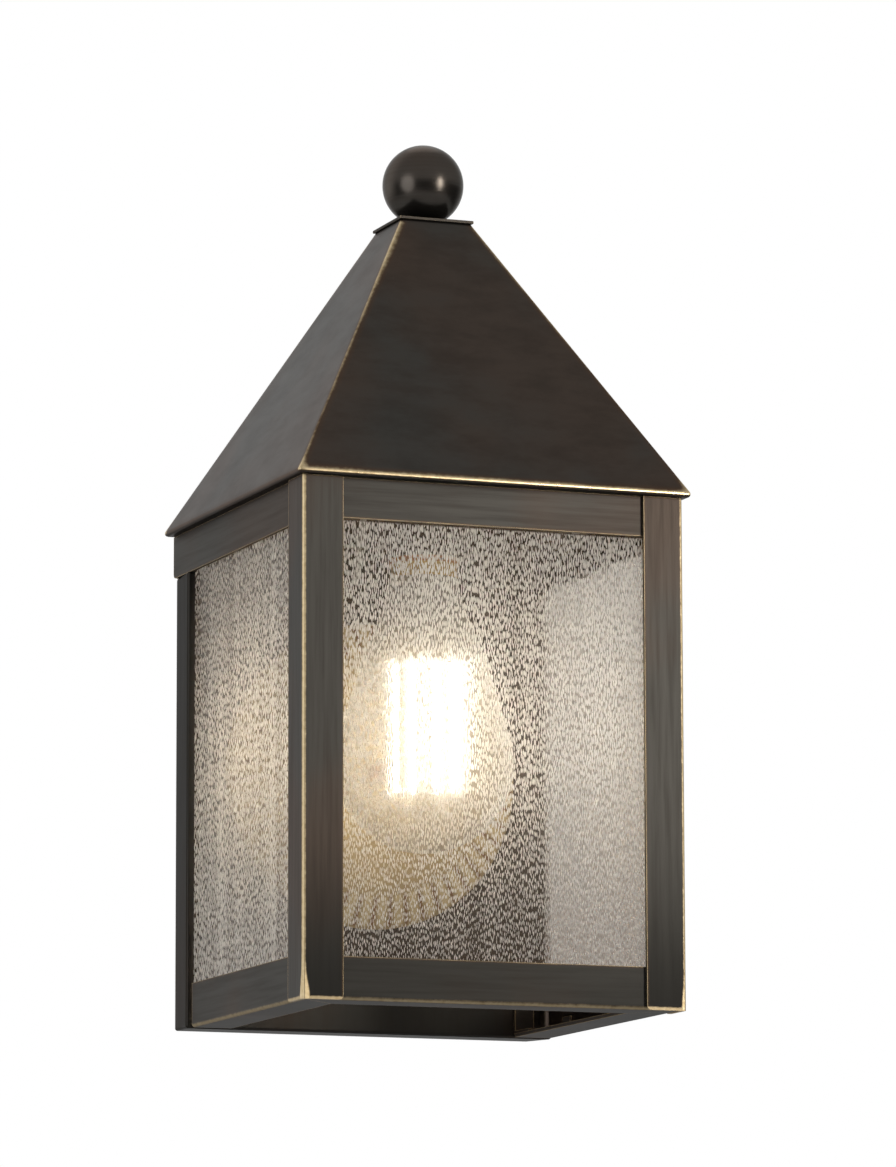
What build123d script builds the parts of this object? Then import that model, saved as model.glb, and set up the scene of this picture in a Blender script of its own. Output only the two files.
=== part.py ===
from build123d import *
import math
import os

os.makedirs("parts", exist_ok=True)

# Wall lantern with a square plan, a hipped roof and a ball finial, in millimetres.
# The wall is the plane Y = 0, the front faces -Y, and Z = 0 is the height of the outlet box's centre.

# Lantern frame
width = 152.4  # over the two front posts
depth = 152.4  # from the wall to the front of the posts
frame_height = 194.0  # from the foot of the posts to the top of the frame
box_above_feet = 100.5  # outlet box centre over the foot of the posts
angle_leg = 15.9  # each leg of the post angle
angle_sheet = 1.5  # post gauge
angle_corner = 1.0  # rounding of the post's outside corner
post_tip_round = 1.6  # rounding of the two free corners at a post's foot
rail_sheet = 1.5  # rail gauge
rail_flange = 15.9  # inward flange of a rail, measured from its outer face
rail_bend = 1.4  # outside radius of a bottom rail's bend
front_top_rail_height = 15.2
side_top_rail_height = 16.4
front_bottom_rail_height = 16.1
side_bottom_rail_height = 17.0
rail_to_pan_gap = 3.6  # between a side bottom rail's end and the back pan
rail_rear_round = 2.0  # lower rear corner of a side top rail

# Back pan and what seals it
pan_depth = 19.3
pan_sheet = 1.2
pan_front_inset = 0.35  # pan's front edge inside the frame's width, each side
pan_rear_inset = 2.5  # the same at the wall, where the pan is narrower
pan_front_drop = 0.1  # front bottom edge below the foot of the posts
pan_rear_rise = 0.5  # rear bottom edge above the foot of the posts
pan_bend = 1.0
pan_return = 9.0  # inward return at the rear, which carries the gasket
gasket_thickness = 1.2
gasket_width = 6.5
gasket_inset = 1.0
gasket_drain_gap = 60.0

# Glass
glass_thickness = 3.0
glass_play = 0.2  # all round each pane
clip_sheet = 0.8
clip_width = 8.0
clip_height = 4.7
clip_foot = 8.0
side_clip_spacing = 64.0
front_clip_spacing = 84.0

# Roof
roof_sheet = 1.2
side_overhang = 2.4
front_overhang = 3.0
hem_height = 1.8
hem_return = 7.0
roof_rise = 111.6  # from the eave's edge to the flat top
roof_top_width = 28.6
peak_from_wall = 78.3
hip_round = 0.7
cap_width = 30.2
cap_thickness = 1.2

# Finial and lamp pipe
ball_radius = 15.75
ball_flat_radius = 7.0
ball_bore_depth = 9.0
seal_radius = 6.0
seal_gap = 1.7  # cap plate to the flat under the ball
seal_seat_depth = 1.0
pipe_radius = 4.85
pipe_bore_radius = 3.2
pipe_engagement = 8.0  # length of pipe inside the ball
pipe_nut_flats = 14.0
pipe_nut_height = 4.0
running_gap = 0.05

# Socket strap
strap_width = 19.0
strap_sheet = 1.5
strap_foot = 9.2
strap_top_length = 44.0
strap_screw_radius = 1.7

# Lamp holder
socket_rim_below_top = 19.0  # lamp holder's rim under the top of the frame
socket_lip = 2.3  # screw shell showing below the holder's body
socket_shell_radius = 13.85
socket_shell_wall = 0.45
socket_shell_length = 23.0
socket_body_wall = 3.6
socket_body_length = 28.7
socket_cap_wall = 0.8
socket_cap_overlap = 6.0
socket_cap_room = 10.0
socket_hub_radius = 7.5
socket_hub_height = 5.0
contact_radius = 3.5
contact_sheet = 0.5
contact_stem_radius = 1.4
lug_width = 3.6
lug_height = 7.0
lug_thickness = 2.0

# Bulb
bulb_radius = 34.3
bulb_neck_below_rim = 5.2  # glass neck under the lamp holder's rim
bulb_shoulder_radius = 20.8
bulb_shoulder_above_centre = 47.4
bulb_neck_radius = 13.2
bulb_neck_above_centre = 71.4
bulb_wall = 0.8
base_crest_radius = 13.05
base_root_radius = 12.35
base_bore_radius = 11.85
base_pitch = 3.629
base_threads = 5
base_collar = 2.5
base_top_band = 1.2
base_cone_height = 2.6
base_cone_radius = 9.6
insulator_height = 3.0
tip_radius = 4.6
tip_height = 1.1
tip_pin_radius = 2.0
stem_flare_radius = 10.6
stem_radius = 3.2
stem_length = 22.0
pillar_radius = 1.5
filament_count = 8
filament_circle_radius = 11.5
filament_radius = 0.9
filament_length = 48.0
filament_above_bulb_centre = 14.0
support_wire_radius = 0.35

# Reflector
reflector_radius = 60.0
reflector_sheet = 0.8
reflector_rim = 1.6
reflector_shoulder_radius = 46.0
reflector_shoulder_height = 6.8
reflector_crown_height = 9.8
flute_count = 50
flute_radius = 2.2
flute_proud = 0.9
flute_outer_radius = 59.0
flute_inner_radius = 46.5
reflector_screw_radius = 1.9
reflector_screw_head_radius = 4.2
reflector_screw_head_height = 2.6
standoff_flats = 7.0

# Wall mounting
crossbar_length = 106.0
crossbar_width = 19.0
crossbar_thickness = 2.0
crossbar_corner = 3.0
slot_spacing = 79.4  # centre to centre
slot_length = 14.3
slot_width = 4.8
stud_spacing = 48.0
stud_radius = 2.08
stud_tip = 1.6  # stud showing past its nut
stud_nut_flats = 8.7
stud_nut_height = 3.2
ground_screw_x = 12.0
ground_screw_radius = 2.4
ground_head_flats = 8.0
ground_head_height = 3.4

# Wiring
lead_radius = 1.2
lead_spacing = 5.0
lead_bend = 26.0
lead_drop_from_wall = 12.5
grommet_radius = 4.4
grommet_flange = 1.8
grommet_wall = 0.55
grommet_flange_height = 1.4
block_width = 13.0
block_height = 18.0
block_depth = 12.0
block_below_pan_top = 43.1  # lower end of the block under the pan's top
block_port_radius = 1.5
block_port_depth = 6.0
block_ear = 7.0
block_ear_depth = 3.0
block_screw_radius = 1.25

# Levels and faces that follow from the sizes above
foot_z = -box_above_feet
top_z = foot_z + frame_height
front_y = -depth
half_width = width / 2
rail_out_x = half_width - angle_sheet
rail_out_y = front_y + angle_sheet
rail_in_x = rail_out_x - rail_sheet
rail_in_y = rail_out_y + rail_sheet
flange_in_x = rail_out_x - rail_flange
flange_in_y = rail_out_y + rail_flange
pan_front_width = width - 2 * pan_front_inset
pan_rear_width = width - 2 * pan_rear_inset
pan_top_z = top_z - side_top_rail_height
pan_rear_y = -gasket_thickness
pan_front_y = pan_rear_y - pan_depth
pan_inner_y = pan_front_y + pan_sheet
axis_y = -peak_from_wall
eave_z = top_z + hem_height
roof_top_z = eave_z + roof_rise
cap_top_z = roof_top_z + cap_thickness
ball_flat_z = cap_top_z + seal_gap
ball_centre_z = ball_flat_z + math.sqrt(ball_radius**2 - ball_flat_radius**2)
pipe_top_z = ball_flat_z + pipe_engagement
socket_rim_z = top_z - socket_rim_below_top
socket_body_z = socket_rim_z + socket_lip
socket_bore_radius = socket_shell_radius + running_gap
socket_body_radius = socket_bore_radius + socket_body_wall
socket_body_top_z = socket_body_z + socket_body_length
socket_cap_radius = socket_body_radius + running_gap + socket_cap_wall
socket_cap_top_z = socket_body_top_z + socket_cap_room + socket_cap_wall
hub_top_z = socket_cap_top_z + socket_hub_height
strap_z = hub_top_z + pipe_nut_height
strap_screw_x = flange_in_x + strap_foot / 2
pipe_bottom_z = socket_cap_top_z - socket_cap_wall
bulb_neck_z = socket_rim_z - bulb_neck_below_rim
bulb_centre_z = bulb_neck_z - bulb_neck_above_centre
base_thread_z = bulb_neck_z + base_collar
base_band_z = base_thread_z + base_threads * base_pitch
base_cone_z = base_band_z + base_top_band
base_top_z = base_cone_z + base_cone_height
tip_z = base_top_z + insulator_height
filament_top_z = bulb_centre_z + filament_above_bulb_centre + filament_length / 2
filament_bottom_z = filament_top_z - filament_length
stem_top_z = bulb_neck_z - 1.0
stem_bottom_z = stem_top_z - stem_length
reflector_crown_y = pan_front_y - reflector_crown_height
reflector_shoulder_y = pan_front_y - reflector_shoulder_height
lead_z = socket_body_top_z + lug_height - lead_radius - 0.6
lead_drop_y = -lead_drop_from_wall
block_low_z = pan_top_z - block_below_pan_top
block_top_z = block_low_z + block_height


def keep(piece, label):
    """Label a finished piece and write its STEP file."""
    piece.part.label = label
    export_step(piece.part, f"parts/{label}.step")


def place_box(low, high, mode=Mode.ADD):
    """Add a box by its lowest and highest corners to the part being built."""
    size = [b - a for a, b in zip(low, high)]
    middle = [(a + b) / 2 for a, b in zip(low, high)]
    with Locations(tuple(middle)):
        Box(*size, mode=mode)


def through_holes(places, radius, low_z, high_z):
    """Drill upright holes of one radius at (x, y) places through the part being built."""
    from_below = (Align.CENTER, Align.CENTER, Align.MIN)
    with Locations(*[(x, y, low_z) for x, y in places]):
        Cylinder(radius, high_z - low_z, align=from_below, mode=Mode.SUBTRACT)


def wallward_holes(places, radius, low_y, high_y):
    """Drill holes along Y at (x, z) places through the part being built."""
    from_front = (Align.CENTER, Align.CENTER, Align.MIN)
    with Locations(*[Location((x, low_y, z), (-90, 0, 0)) for x, z in places]):
        Cylinder(radius, high_y - low_y, align=from_front, mode=Mode.SUBTRACT)


def hex_nuts(planes, flats, height, bore_radius):
    """Hexagon nuts, one for each plane, standing on it along its normal."""
    with BuildPart() as nuts:
        with BuildSketch(*planes):
            RegularPolygon(flats / 2, 6, major_radius=False)
            Circle(bore_radius, mode=Mode.SUBTRACT)
        extrude(amount=height)
    return nuts


def screws(planes, head_radius, head_height, shank_radius, shank_length):
    """Slotted round-head screws, one for each plane, with the head along its normal."""
    with BuildPart() as group:
        with BuildSketch(*planes):
            Circle(shank_radius)
        extrude(amount=-shank_length)
        with BuildSketch(*planes):
            Circle(head_radius)
        extrude(amount=head_height, taper=20)
        with BuildSketch(*[plane.offset(head_height) for plane in planes]):
            Rectangle(3 * head_radius, head_radius / 4)
        extrude(amount=-head_height / 2, mode=Mode.SUBTRACT)
    return group


# Front posts


def corner_post(side):
    """Angle post at a front corner, with side -1 on the left and 1 on the right."""
    outer_x = side * half_width
    inner_x = side * (half_width - angle_sheet)
    leg_x = side * (half_width - angle_leg)
    leg_y = front_y + angle_leg
    with BuildPart() as post:
        with BuildSketch(Plane.XY.offset(foot_z)):
            with BuildLine():
                Polyline(
                    (outer_x, front_y),
                    (leg_x, front_y),
                    (leg_x, rail_out_y),
                    (inner_x, rail_out_y),
                    (inner_x, leg_y),
                    (outer_x, leg_y),
                    close=True,
                )
            make_face()
        extrude(amount=frame_height)
        uprights = post.edges().filter_by(Axis.Z)
        fillet(uprights.sort_by_distance((outer_x, front_y, 0))[0], angle_corner)
        tips = [(leg_x, front_y, foot_z), (outer_x, leg_y, foot_z)]
        across = post.edges().filter_by(Axis.Y) + post.edges().filter_by(Axis.X)
        short = across.filter_by(lambda edge: edge.length < 1.01 * angle_sheet)
        fillet([short.sort_by_distance(tip)[0] for tip in tips], post_tip_round)
    return post


front_left_post = corner_post(-1)
keep(front_left_post, "front_left_post")
front_right_post = corner_post(1)
keep(front_right_post, "front_right_post")

# Rails of the top and bottom frames


def front_rail(low_z, high_z, flange_z, bend=0):
    """Front rail between two levels, its inward flange mitred at both ends and its bend rounded."""
    with BuildPart() as rail:
        place_box((-rail_out_x, rail_out_y, low_z), (rail_out_x, rail_in_y, high_z))
        with BuildSketch(Plane.XY.offset(flange_z)):
            with BuildLine():
                Polyline(
                    (-rail_in_x, rail_in_y),
                    (rail_in_x, rail_in_y),
                    (flange_in_x, flange_in_y),
                    (-flange_in_x, flange_in_y),
                    close=True,
                )
            make_face()
        extrude(amount=rail_sheet)
        if bend:
            lengthwise = rail.edges().filter_by(Axis.X)
            fillet(lengthwise.sort_by_distance((0, rail_out_y, flange_z))[0], bend)
    return rail


def side_rail(side, low_z, high_z, flange_z, rear_y, bend=0):
    """Side rail from behind the front rail to rear_y, with side -1 on the left and 1 on the right."""
    with BuildPart() as rail:
        inner, outer = sorted((side * rail_in_x, side * rail_out_x))
        place_box((inner, rail_in_y, low_z), (outer, rear_y, high_z))
        with BuildSketch(Plane.XY.offset(flange_z)):
            with BuildLine():
                Polyline(
                    (side * rail_in_x, rail_in_y),
                    (side * flange_in_x, flange_in_y),
                    (side * flange_in_x, rear_y),
                    (side * rail_in_x, rear_y),
                    close=True,
                )
            make_face()
        extrude(amount=rail_sheet)
        if bend:
            lengthwise = rail.edges().filter_by(Axis.Y)
            corner = (side * rail_out_x, axis_y, flange_z)
            fillet(lengthwise.sort_by_distance(corner)[0], bend)
    return rail


front_top_rail = front_rail(top_z - front_top_rail_height, top_z, top_z - rail_sheet)
keep(front_top_rail, "front_top_rail")

front_bottom_rail = front_rail(foot_z, foot_z + front_bottom_rail_height, foot_z, rail_bend)
keep(front_bottom_rail, "front_bottom_rail")

for side, name in ((-1, "left"), (1, "right")):
    blank = side_rail(side, pan_top_z, top_z, top_z - rail_sheet, 0)
    with BuildPart() as side_top_rail:
        add(blank.part)
        corner = (side * rail_out_x, 0, pan_top_z)
        across = side_top_rail.edges().filter_by(Axis.X)
        fillet(across.sort_by_distance(corner)[0], rail_rear_round)
        inner, outer = sorted((side * flange_in_x, side * rail_in_x))
        place_box((inner, -rail_sheet, pan_top_z), (outer, 0, top_z), mode=Mode.SUBTRACT)
        through_holes(
            [(side * strap_screw_x, axis_y)],
            strap_screw_radius + running_gap,
            top_z - rail_sheet,
            top_z,
        )
    keep(side_top_rail, f"{name}_top_rail")

bottom_rail_top_z = foot_z + side_bottom_rail_height
bottom_rail_rear_y = pan_front_y - rail_to_pan_gap
for side, name in ((-1, "left"), (1, "right")):
    side_bottom_rail = side_rail(
        side, foot_z, bottom_rail_top_z, foot_z, bottom_rail_rear_y, rail_bend
    )
    keep(side_bottom_rail, f"{name}_bottom_rail")

with BuildPart() as rear_top_rail:
    place_box((-rail_in_x, -rail_sheet, pan_top_z), (rail_in_x, 0, top_z))
keep(rear_top_rail, "rear_top_rail")

# Small angles that join the bottom side rails to the back pan
bracket_sheet = 1.2
bracket_width = 8.0
bracket_leg = 12.0
with BuildPart() as rail_brackets:
    for side in (-1, 1):
        inner, outer = sorted((side * (flange_in_x + 1), side * (flange_in_x + 1 + bracket_width)))
        floor_z = foot_z + rail_sheet
        rear_y = pan_front_y
        place_box(
            (inner, rear_y - rail_to_pan_gap - bracket_leg, floor_z),
            (outer, rear_y, floor_z + bracket_sheet),
        )
        place_box(
            (inner, rear_y - bracket_sheet, floor_z),
            (outer, rear_y, floor_z + bracket_leg),
        )
keep(rail_brackets, "rail_brackets")

# Back pan: a pressed tray, open towards the wall, whose sides draw in a little


def pan_width_at(y):
    """Outside width of the pan at a distance from the wall."""
    share = (y - pan_front_y) / pan_depth
    return pan_front_width + share * (pan_rear_width - pan_front_width)


def pan_bottom_at(y):
    """Height of the pan's bottom edge at a distance from the wall."""
    share = (y - pan_front_y) / pan_depth
    return foot_z - pan_front_drop + share * (pan_front_drop + pan_rear_rise)


def pan_outline(y, inset):
    """Rectangle of the pan's section at one depth, drawn in by inset on every side."""
    low_z = pan_bottom_at(y) + inset
    high_z = pan_top_z - inset
    with BuildSketch(Plane.XZ.offset(-y)) as outline:
        with Locations((0, (low_z + high_z) / 2)):
            Rectangle(pan_width_at(y) - 2 * inset, high_z - low_z)
    return outline.sketch


stud_places = [(-stud_spacing / 2, 0), (stud_spacing / 2, 0)]
block_screw_x = block_width / 2 + block_ear / 2
block_screw_z = block_low_z + block_height / 2
block_screw_places = [(-block_screw_x, block_screw_z), (block_screw_x, block_screw_z)]

pan_outside = [pan_outline(pan_front_y, 0), pan_outline(pan_rear_y, 0)]
pan_inside = [
    pan_outline(pan_inner_y, pan_sheet),
    pan_outline(pan_rear_y - pan_sheet, pan_sheet),
]

with BuildPart() as back_pan:
    loft(pan_outside)
    rear_edges = back_pan.faces().sort_by(Axis.Y)[-1].edges()
    fillet([edge for edge in back_pan.edges() if edge not in rear_edges], pan_bend)
    loft(pan_inside, mode=Mode.SUBTRACT)
    return_inset = pan_sheet + pan_return
    with BuildSketch(Plane.XZ.offset(-pan_rear_y)):
        low_z = pan_bottom_at(pan_rear_y) + return_inset
        high_z = pan_top_z - return_inset
        with Locations((0, (low_z + high_z) / 2)):
            Rectangle(pan_rear_width - 2 * return_inset, high_z - low_z)
    extrude(amount=2 * pan_sheet, mode=Mode.SUBTRACT)
    wallward_holes(stud_places, stud_radius + 0.3, pan_front_y, pan_inner_y)
    wallward_holes(block_screw_places, block_screw_radius + running_gap, pan_front_y, pan_inner_y)
    wallward_holes([(0, 0)], reflector_screw_radius + running_gap, pan_front_y, pan_inner_y)
    through_holes(
        [(0, lead_drop_y)],
        grommet_radius + grommet_wall + running_gap,
        pan_top_z - pan_sheet,
        pan_top_z,
    )
keep(back_pan, "back_pan")

# Foam gasket on the pan's return, left open at the bottom for drainage
with BuildPart() as wall_gasket:
    low_z = pan_bottom_at(pan_rear_y) + gasket_inset
    high_z = pan_top_z - gasket_inset
    outer_x = pan_rear_width / 2 - gasket_inset
    with BuildSketch(Plane.XZ.offset(gasket_thickness)):
        with Locations((0, (low_z + high_z) / 2)):
            Rectangle(2 * outer_x, high_z - low_z)
            Rectangle(
                2 * (outer_x - gasket_width),
                high_z - low_z - 2 * gasket_width,
                mode=Mode.SUBTRACT,
            )
        with Locations((0, low_z)):
            Rectangle(gasket_drain_gap, 3 * gasket_width, mode=Mode.SUBTRACT)
    extrude(amount=-gasket_thickness)
keep(wall_gasket, "wall_gasket")

# Glass panes, standing on the bottom rails' flanges
glass_low_z = foot_z + rail_sheet + glass_play / 2
glass_high_z = top_z - rail_sheet - glass_play
front_glass_y = rail_in_y + glass_play
side_glass_x = rail_in_x - glass_play

with BuildPart() as front_glass:
    place_box(
        (-side_glass_x, front_glass_y, glass_low_z),
        (side_glass_x, front_glass_y + glass_thickness, glass_high_z),
    )
keep(front_glass, "front_glass")

side_glass_front_y = front_glass_y + glass_thickness + glass_play
side_glass_rear_y = pan_front_y - glass_play
for side, name in ((-1, "left"), (1, "right")):
    inner, outer = sorted((side * (side_glass_x - glass_thickness), side * side_glass_x))
    with BuildPart() as side_glass:
        place_box(
            (inner, side_glass_front_y, glass_low_z),
            (outer, side_glass_rear_y, glass_high_z),
        )
    keep(side_glass, f"{name}_glass")

# Bent clips soldered to the flanges, which hold the panes against the rails
clip_floor_z = foot_z + rail_sheet
clip_ceiling_z = top_z - rail_sheet


def clip_levels():
    """Low and high edges of a clip's foot and of its upright, at the bottom and at the top."""
    bottom = (clip_floor_z, clip_floor_z + clip_sheet, clip_floor_z, clip_floor_z + clip_height)
    top = (
        clip_ceiling_z - clip_sheet,
        clip_ceiling_z,
        clip_ceiling_z - clip_height,
        clip_ceiling_z,
    )
    return (bottom, top)


front_clip_y = front_glass_y + glass_thickness + running_gap
with BuildPart() as front_glass_clips:
    for middle_x in (-front_clip_spacing / 2, front_clip_spacing / 2):
        low_x = middle_x - clip_width / 2
        high_x = middle_x + clip_width / 2
        for foot_low, foot_high, leg_low, leg_high in clip_levels():
            place_box((low_x, front_clip_y, foot_low), (high_x, front_clip_y + clip_foot, foot_high))
            place_box((low_x, front_clip_y, leg_low), (high_x, front_clip_y + clip_sheet, leg_high))
keep(front_glass_clips, "front_glass_clips")

side_clip_x = side_glass_x - glass_thickness - running_gap
side_clip_middle_y = (side_glass_front_y + side_glass_rear_y) / 2
for side, name in ((-1, "left"), (1, "right")):
    with BuildPart() as side_glass_clips:
        for offset_y in (-side_clip_spacing / 2, side_clip_spacing / 2):
            low_y = side_clip_middle_y + offset_y - clip_width / 2
            high_y = low_y + clip_width
            leg = sorted((side * side_clip_x, side * (side_clip_x - clip_sheet)))
            foot = sorted((side * side_clip_x, side * (side_clip_x - clip_foot)))
            for foot_low, foot_high, leg_low, leg_high in clip_levels():
                place_box((foot[0], low_y, foot_low), (foot[1], high_y, foot_high))
                place_box((leg[0], low_y, leg_low), (leg[1], high_y, leg_high))
    keep(side_glass_clips, f"{name}_glass_clips")

# Hipped roof: a folded shell with a short hem, resting on the posts and rails
eave_half = half_width + side_overhang
eave_front_y = front_y - front_overhang
eave_middle_y = eave_front_y / 2
roof_top_half = roof_top_width / 2


def roof_wall_inset(run):
    """Level distance through a sloping roof wall that rises over the given run."""
    return roof_sheet * math.hypot(run, roof_rise) / roof_rise


side_inset = roof_wall_inset(eave_half - roof_top_half)
front_inset = roof_wall_inset(-eave_front_y + axis_y - roof_top_half)
rear_inset = roof_wall_inset(-axis_y - roof_top_half)
pipe_hole_radius = pipe_radius + 0.35

with BuildPart() as roof_shell:
    with BuildSketch(Plane.XY.offset(eave_z)):
        with Locations((0, eave_middle_y)):
            Rectangle(2 * eave_half, -eave_front_y)
    with BuildSketch(Plane.XY.offset(roof_top_z)):
        with Locations((0, axis_y)):
            Rectangle(roof_top_width, roof_top_width)
    loft()
    hips = [edge for edge in roof_shell.edges() if edge.length > roof_rise]
    fillet(hips, hip_round)
    place_box((-eave_half, eave_front_y, top_z), (eave_half, 0, eave_z))
    with BuildSketch(Plane.XY.offset(eave_z)):
        with Locations((0, (eave_front_y + front_inset - rear_inset) / 2)):
            Rectangle(
                2 * (eave_half - side_inset),
                -eave_front_y - front_inset - rear_inset,
            )
    with BuildSketch(Plane.XY.offset(roof_top_z)):
        with Locations((0, axis_y + (front_inset - rear_inset) / 2)):
            Rectangle(
                roof_top_width - 2 * side_inset,
                roof_top_width - front_inset - rear_inset,
            )
    loft(mode=Mode.SUBTRACT)
    place_box(
        (-eave_half + side_inset, eave_front_y + front_inset, top_z + roof_sheet),
        (eave_half - side_inset, -rear_inset, eave_z),
        mode=Mode.SUBTRACT,
    )
    place_box(
        (-eave_half + hem_return, eave_front_y + hem_return, top_z),
        (eave_half - hem_return, -hem_return, eave_z),
        mode=Mode.SUBTRACT,
    )
    place_box(
        (-roof_top_half, axis_y - roof_top_half, roof_top_z - roof_sheet),
        (roof_top_half, axis_y + roof_top_half, roof_top_z),
    )
    through_holes([(0, axis_y)], pipe_hole_radius, roof_top_z - roof_sheet, roof_top_z)
keep(roof_shell, "roof_shell")

with BuildPart() as roof_cap_plate:
    cap_half = cap_width / 2
    place_box(
        (-cap_half, axis_y - cap_half, roof_top_z),
        (cap_half, axis_y + cap_half, cap_top_z),
    )
    chamfer(roof_cap_plate.edges().filter_by(Axis.Z, reverse=True), cap_thickness / 6)
    through_holes([(0, axis_y)], pipe_hole_radius, roof_top_z, cap_top_z)
keep(roof_cap_plate, "roof_cap_plate")

# Ball finial, screwed on the lamp pipe, with a sealing ring in its underside
with BuildPart() as finial_ball:
    with Locations((0, axis_y, ball_centre_z)):
        Sphere(ball_radius)
    place_box(
        (-ball_radius, axis_y - ball_radius, ball_centre_z - ball_radius),
        (ball_radius, axis_y + ball_radius, ball_flat_z),
        mode=Mode.SUBTRACT,
    )
    through_holes(
        [(0, axis_y)],
        pipe_radius + running_gap,
        ball_flat_z,
        ball_flat_z + ball_bore_depth,
    )
    through_holes(
        [(0, axis_y)],
        seal_radius + running_gap,
        ball_flat_z,
        ball_flat_z + seal_seat_depth,
    )
keep(finial_ball, "finial_ball")

with BuildPart() as finial_seal:
    with BuildSketch(Plane.XY.offset(cap_top_z + running_gap)):
        with Locations((0, axis_y)):
            Circle(seal_radius)
            Circle(pipe_radius + 2 * running_gap, mode=Mode.SUBTRACT)
    extrude(amount=seal_gap + seal_seat_depth - 2 * running_gap)
keep(finial_seal, "finial_seal")

# Lamp pipe from the holder's cap up into the ball, with a nut on each side of the strap
with BuildPart() as lamp_pipe:
    with BuildSketch(Plane.XY.offset(pipe_bottom_z)):
        with Locations((0, axis_y)):
            Circle(pipe_radius)
            Circle(pipe_bore_radius, mode=Mode.SUBTRACT)
    extrude(amount=pipe_top_z - pipe_bottom_z)
keep(lamp_pipe, "lamp_pipe")

nut_planes = [Plane((0, axis_y, hub_top_z)), Plane((0, axis_y, strap_z + strap_sheet))]
pipe_nuts = hex_nuts(nut_planes, pipe_nut_flats, pipe_nut_height, pipe_radius + running_gap)
keep(pipe_nuts, "pipe_nuts")

# Strap across the top frame, which carries the pipe and the lamp holder
strap_foot_x = flange_in_x + strap_foot
with BuildPart() as socket_strap:
    with BuildSketch(Plane.XZ.offset(-axis_y - strap_width / 2)):
        with BuildLine():
            Polyline(
                (-strap_foot_x, top_z),
                (-flange_in_x, top_z),
                (-strap_top_length / 2, strap_z),
                (strap_top_length / 2, strap_z),
                (flange_in_x, top_z),
                (strap_foot_x, top_z),
                (strap_foot_x, top_z + strap_sheet),
                (flange_in_x - strap_sheet / 2, top_z + strap_sheet),
                (strap_top_length / 2 + strap_sheet / 2, strap_z + strap_sheet),
                (-strap_top_length / 2 - strap_sheet / 2, strap_z + strap_sheet),
                (-flange_in_x + strap_sheet / 2, top_z + strap_sheet),
                (-strap_foot_x, top_z + strap_sheet),
                close=True,
            )
        make_face()
    extrude(amount=strap_width)
    through_holes([(0, axis_y)], pipe_radius + 0.15, strap_z, strap_z + strap_sheet)
    through_holes(
        [(-strap_screw_x, axis_y), (strap_screw_x, axis_y)],
        strap_screw_radius + 0.2,
        top_z,
        top_z + strap_sheet,
    )
keep(socket_strap, "socket_strap")

strap_screw_planes = [
    Plane((side * strap_screw_x, axis_y, top_z + strap_sheet)) for side in (-1, 1)
]
strap_screws = screws(
    strap_screw_planes,
    2 * strap_screw_radius,
    1.2 * strap_screw_radius,
    strap_screw_radius,
    strap_sheet + rail_sheet + 1,
)
keep(strap_screws, "strap_screws")

# Lamp holder
with BuildPart() as socket_body:
    with BuildSketch(Plane.XY.offset(socket_body_z)):
        with Locations((0, axis_y)):
            Circle(socket_body_radius)
    extrude(amount=socket_body_length)
    through_holes(
        [(0, axis_y)], socket_bore_radius, socket_body_z, socket_rim_z + socket_shell_length
    )
    through_holes(
        [(0, axis_y)],
        contact_radius + 1,
        socket_body_z,
        tip_z + tip_height + contact_sheet + 3 * running_gap,
    )
    through_holes(
        [(0, axis_y)], contact_stem_radius + running_gap, socket_body_z, socket_body_top_z
    )
    rim = socket_body.faces().sort_by(Axis.Z)[0].edges().sort_by(SortBy.RADIUS)[-1]
    chamfer(rim, 0.8)
keep(socket_body, "socket_body")

with BuildPart() as socket_screw_shell:
    with BuildSketch(Plane.XY.offset(socket_rim_z)):
        with Locations((0, axis_y)):
            Circle(socket_shell_radius)
            Circle(socket_shell_radius - socket_shell_wall, mode=Mode.SUBTRACT)
    extrude(amount=socket_shell_length - running_gap)
keep(socket_screw_shell, "socket_screw_shell")

contact_z = tip_z + tip_height + running_gap
with BuildPart() as socket_centre_contact:
    with BuildSketch(Plane.XY.offset(contact_z)):
        with Locations((0, axis_y)):
            Circle(contact_radius)
    extrude(amount=contact_sheet)
    with BuildSketch(Plane.XY.offset(contact_z)):
        with Locations((0, axis_y)):
            Circle(contact_stem_radius)
    extrude(amount=socket_body_top_z - contact_z + contact_sheet)
keep(socket_centre_contact, "socket_centre_contact")

lug_front_y = axis_y + contact_stem_radius + 1
with BuildPart() as socket_lugs:
    for side in (-1, 1):
        middle_x = side * lead_spacing / 2
        place_box(
            (middle_x - lug_width / 2, lug_front_y, socket_body_top_z),
            (middle_x + lug_width / 2, lug_front_y + lug_thickness, socket_body_top_z + lug_height),
        )
keep(socket_lugs, "socket_lugs")

outlet_radius = lead_spacing / 2 + lead_radius + grommet_wall + 0.2
with BuildPart() as socket_cap:
    cap_low_z = socket_body_top_z - socket_cap_overlap
    with BuildSketch(Plane.XY.offset(cap_low_z)):
        with Locations((0, axis_y)):
            Circle(socket_cap_radius)
    extrude(amount=socket_cap_top_z - cap_low_z)
    fillet(socket_cap.edges().sort_by(Axis.Z)[-1], 2.5)
    with BuildSketch(Plane.XY.offset(socket_cap_top_z)):
        with Locations((0, axis_y)):
            Circle(socket_hub_radius)
    extrude(amount=socket_hub_height)
    through_holes(
        [(0, axis_y)],
        socket_cap_radius - socket_cap_wall,
        cap_low_z,
        socket_cap_top_z - socket_cap_wall,
    )
    through_holes([(0, axis_y)], pipe_radius + running_gap, cap_low_z, hub_top_z)
    with BuildSketch(Plane.XZ.offset(-axis_y)):
        with Locations((0, lead_z)):
            Circle(outlet_radius)
    extrude(amount=-2 * socket_cap_radius, mode=Mode.SUBTRACT)
keep(socket_cap, "socket_cap")

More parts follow.
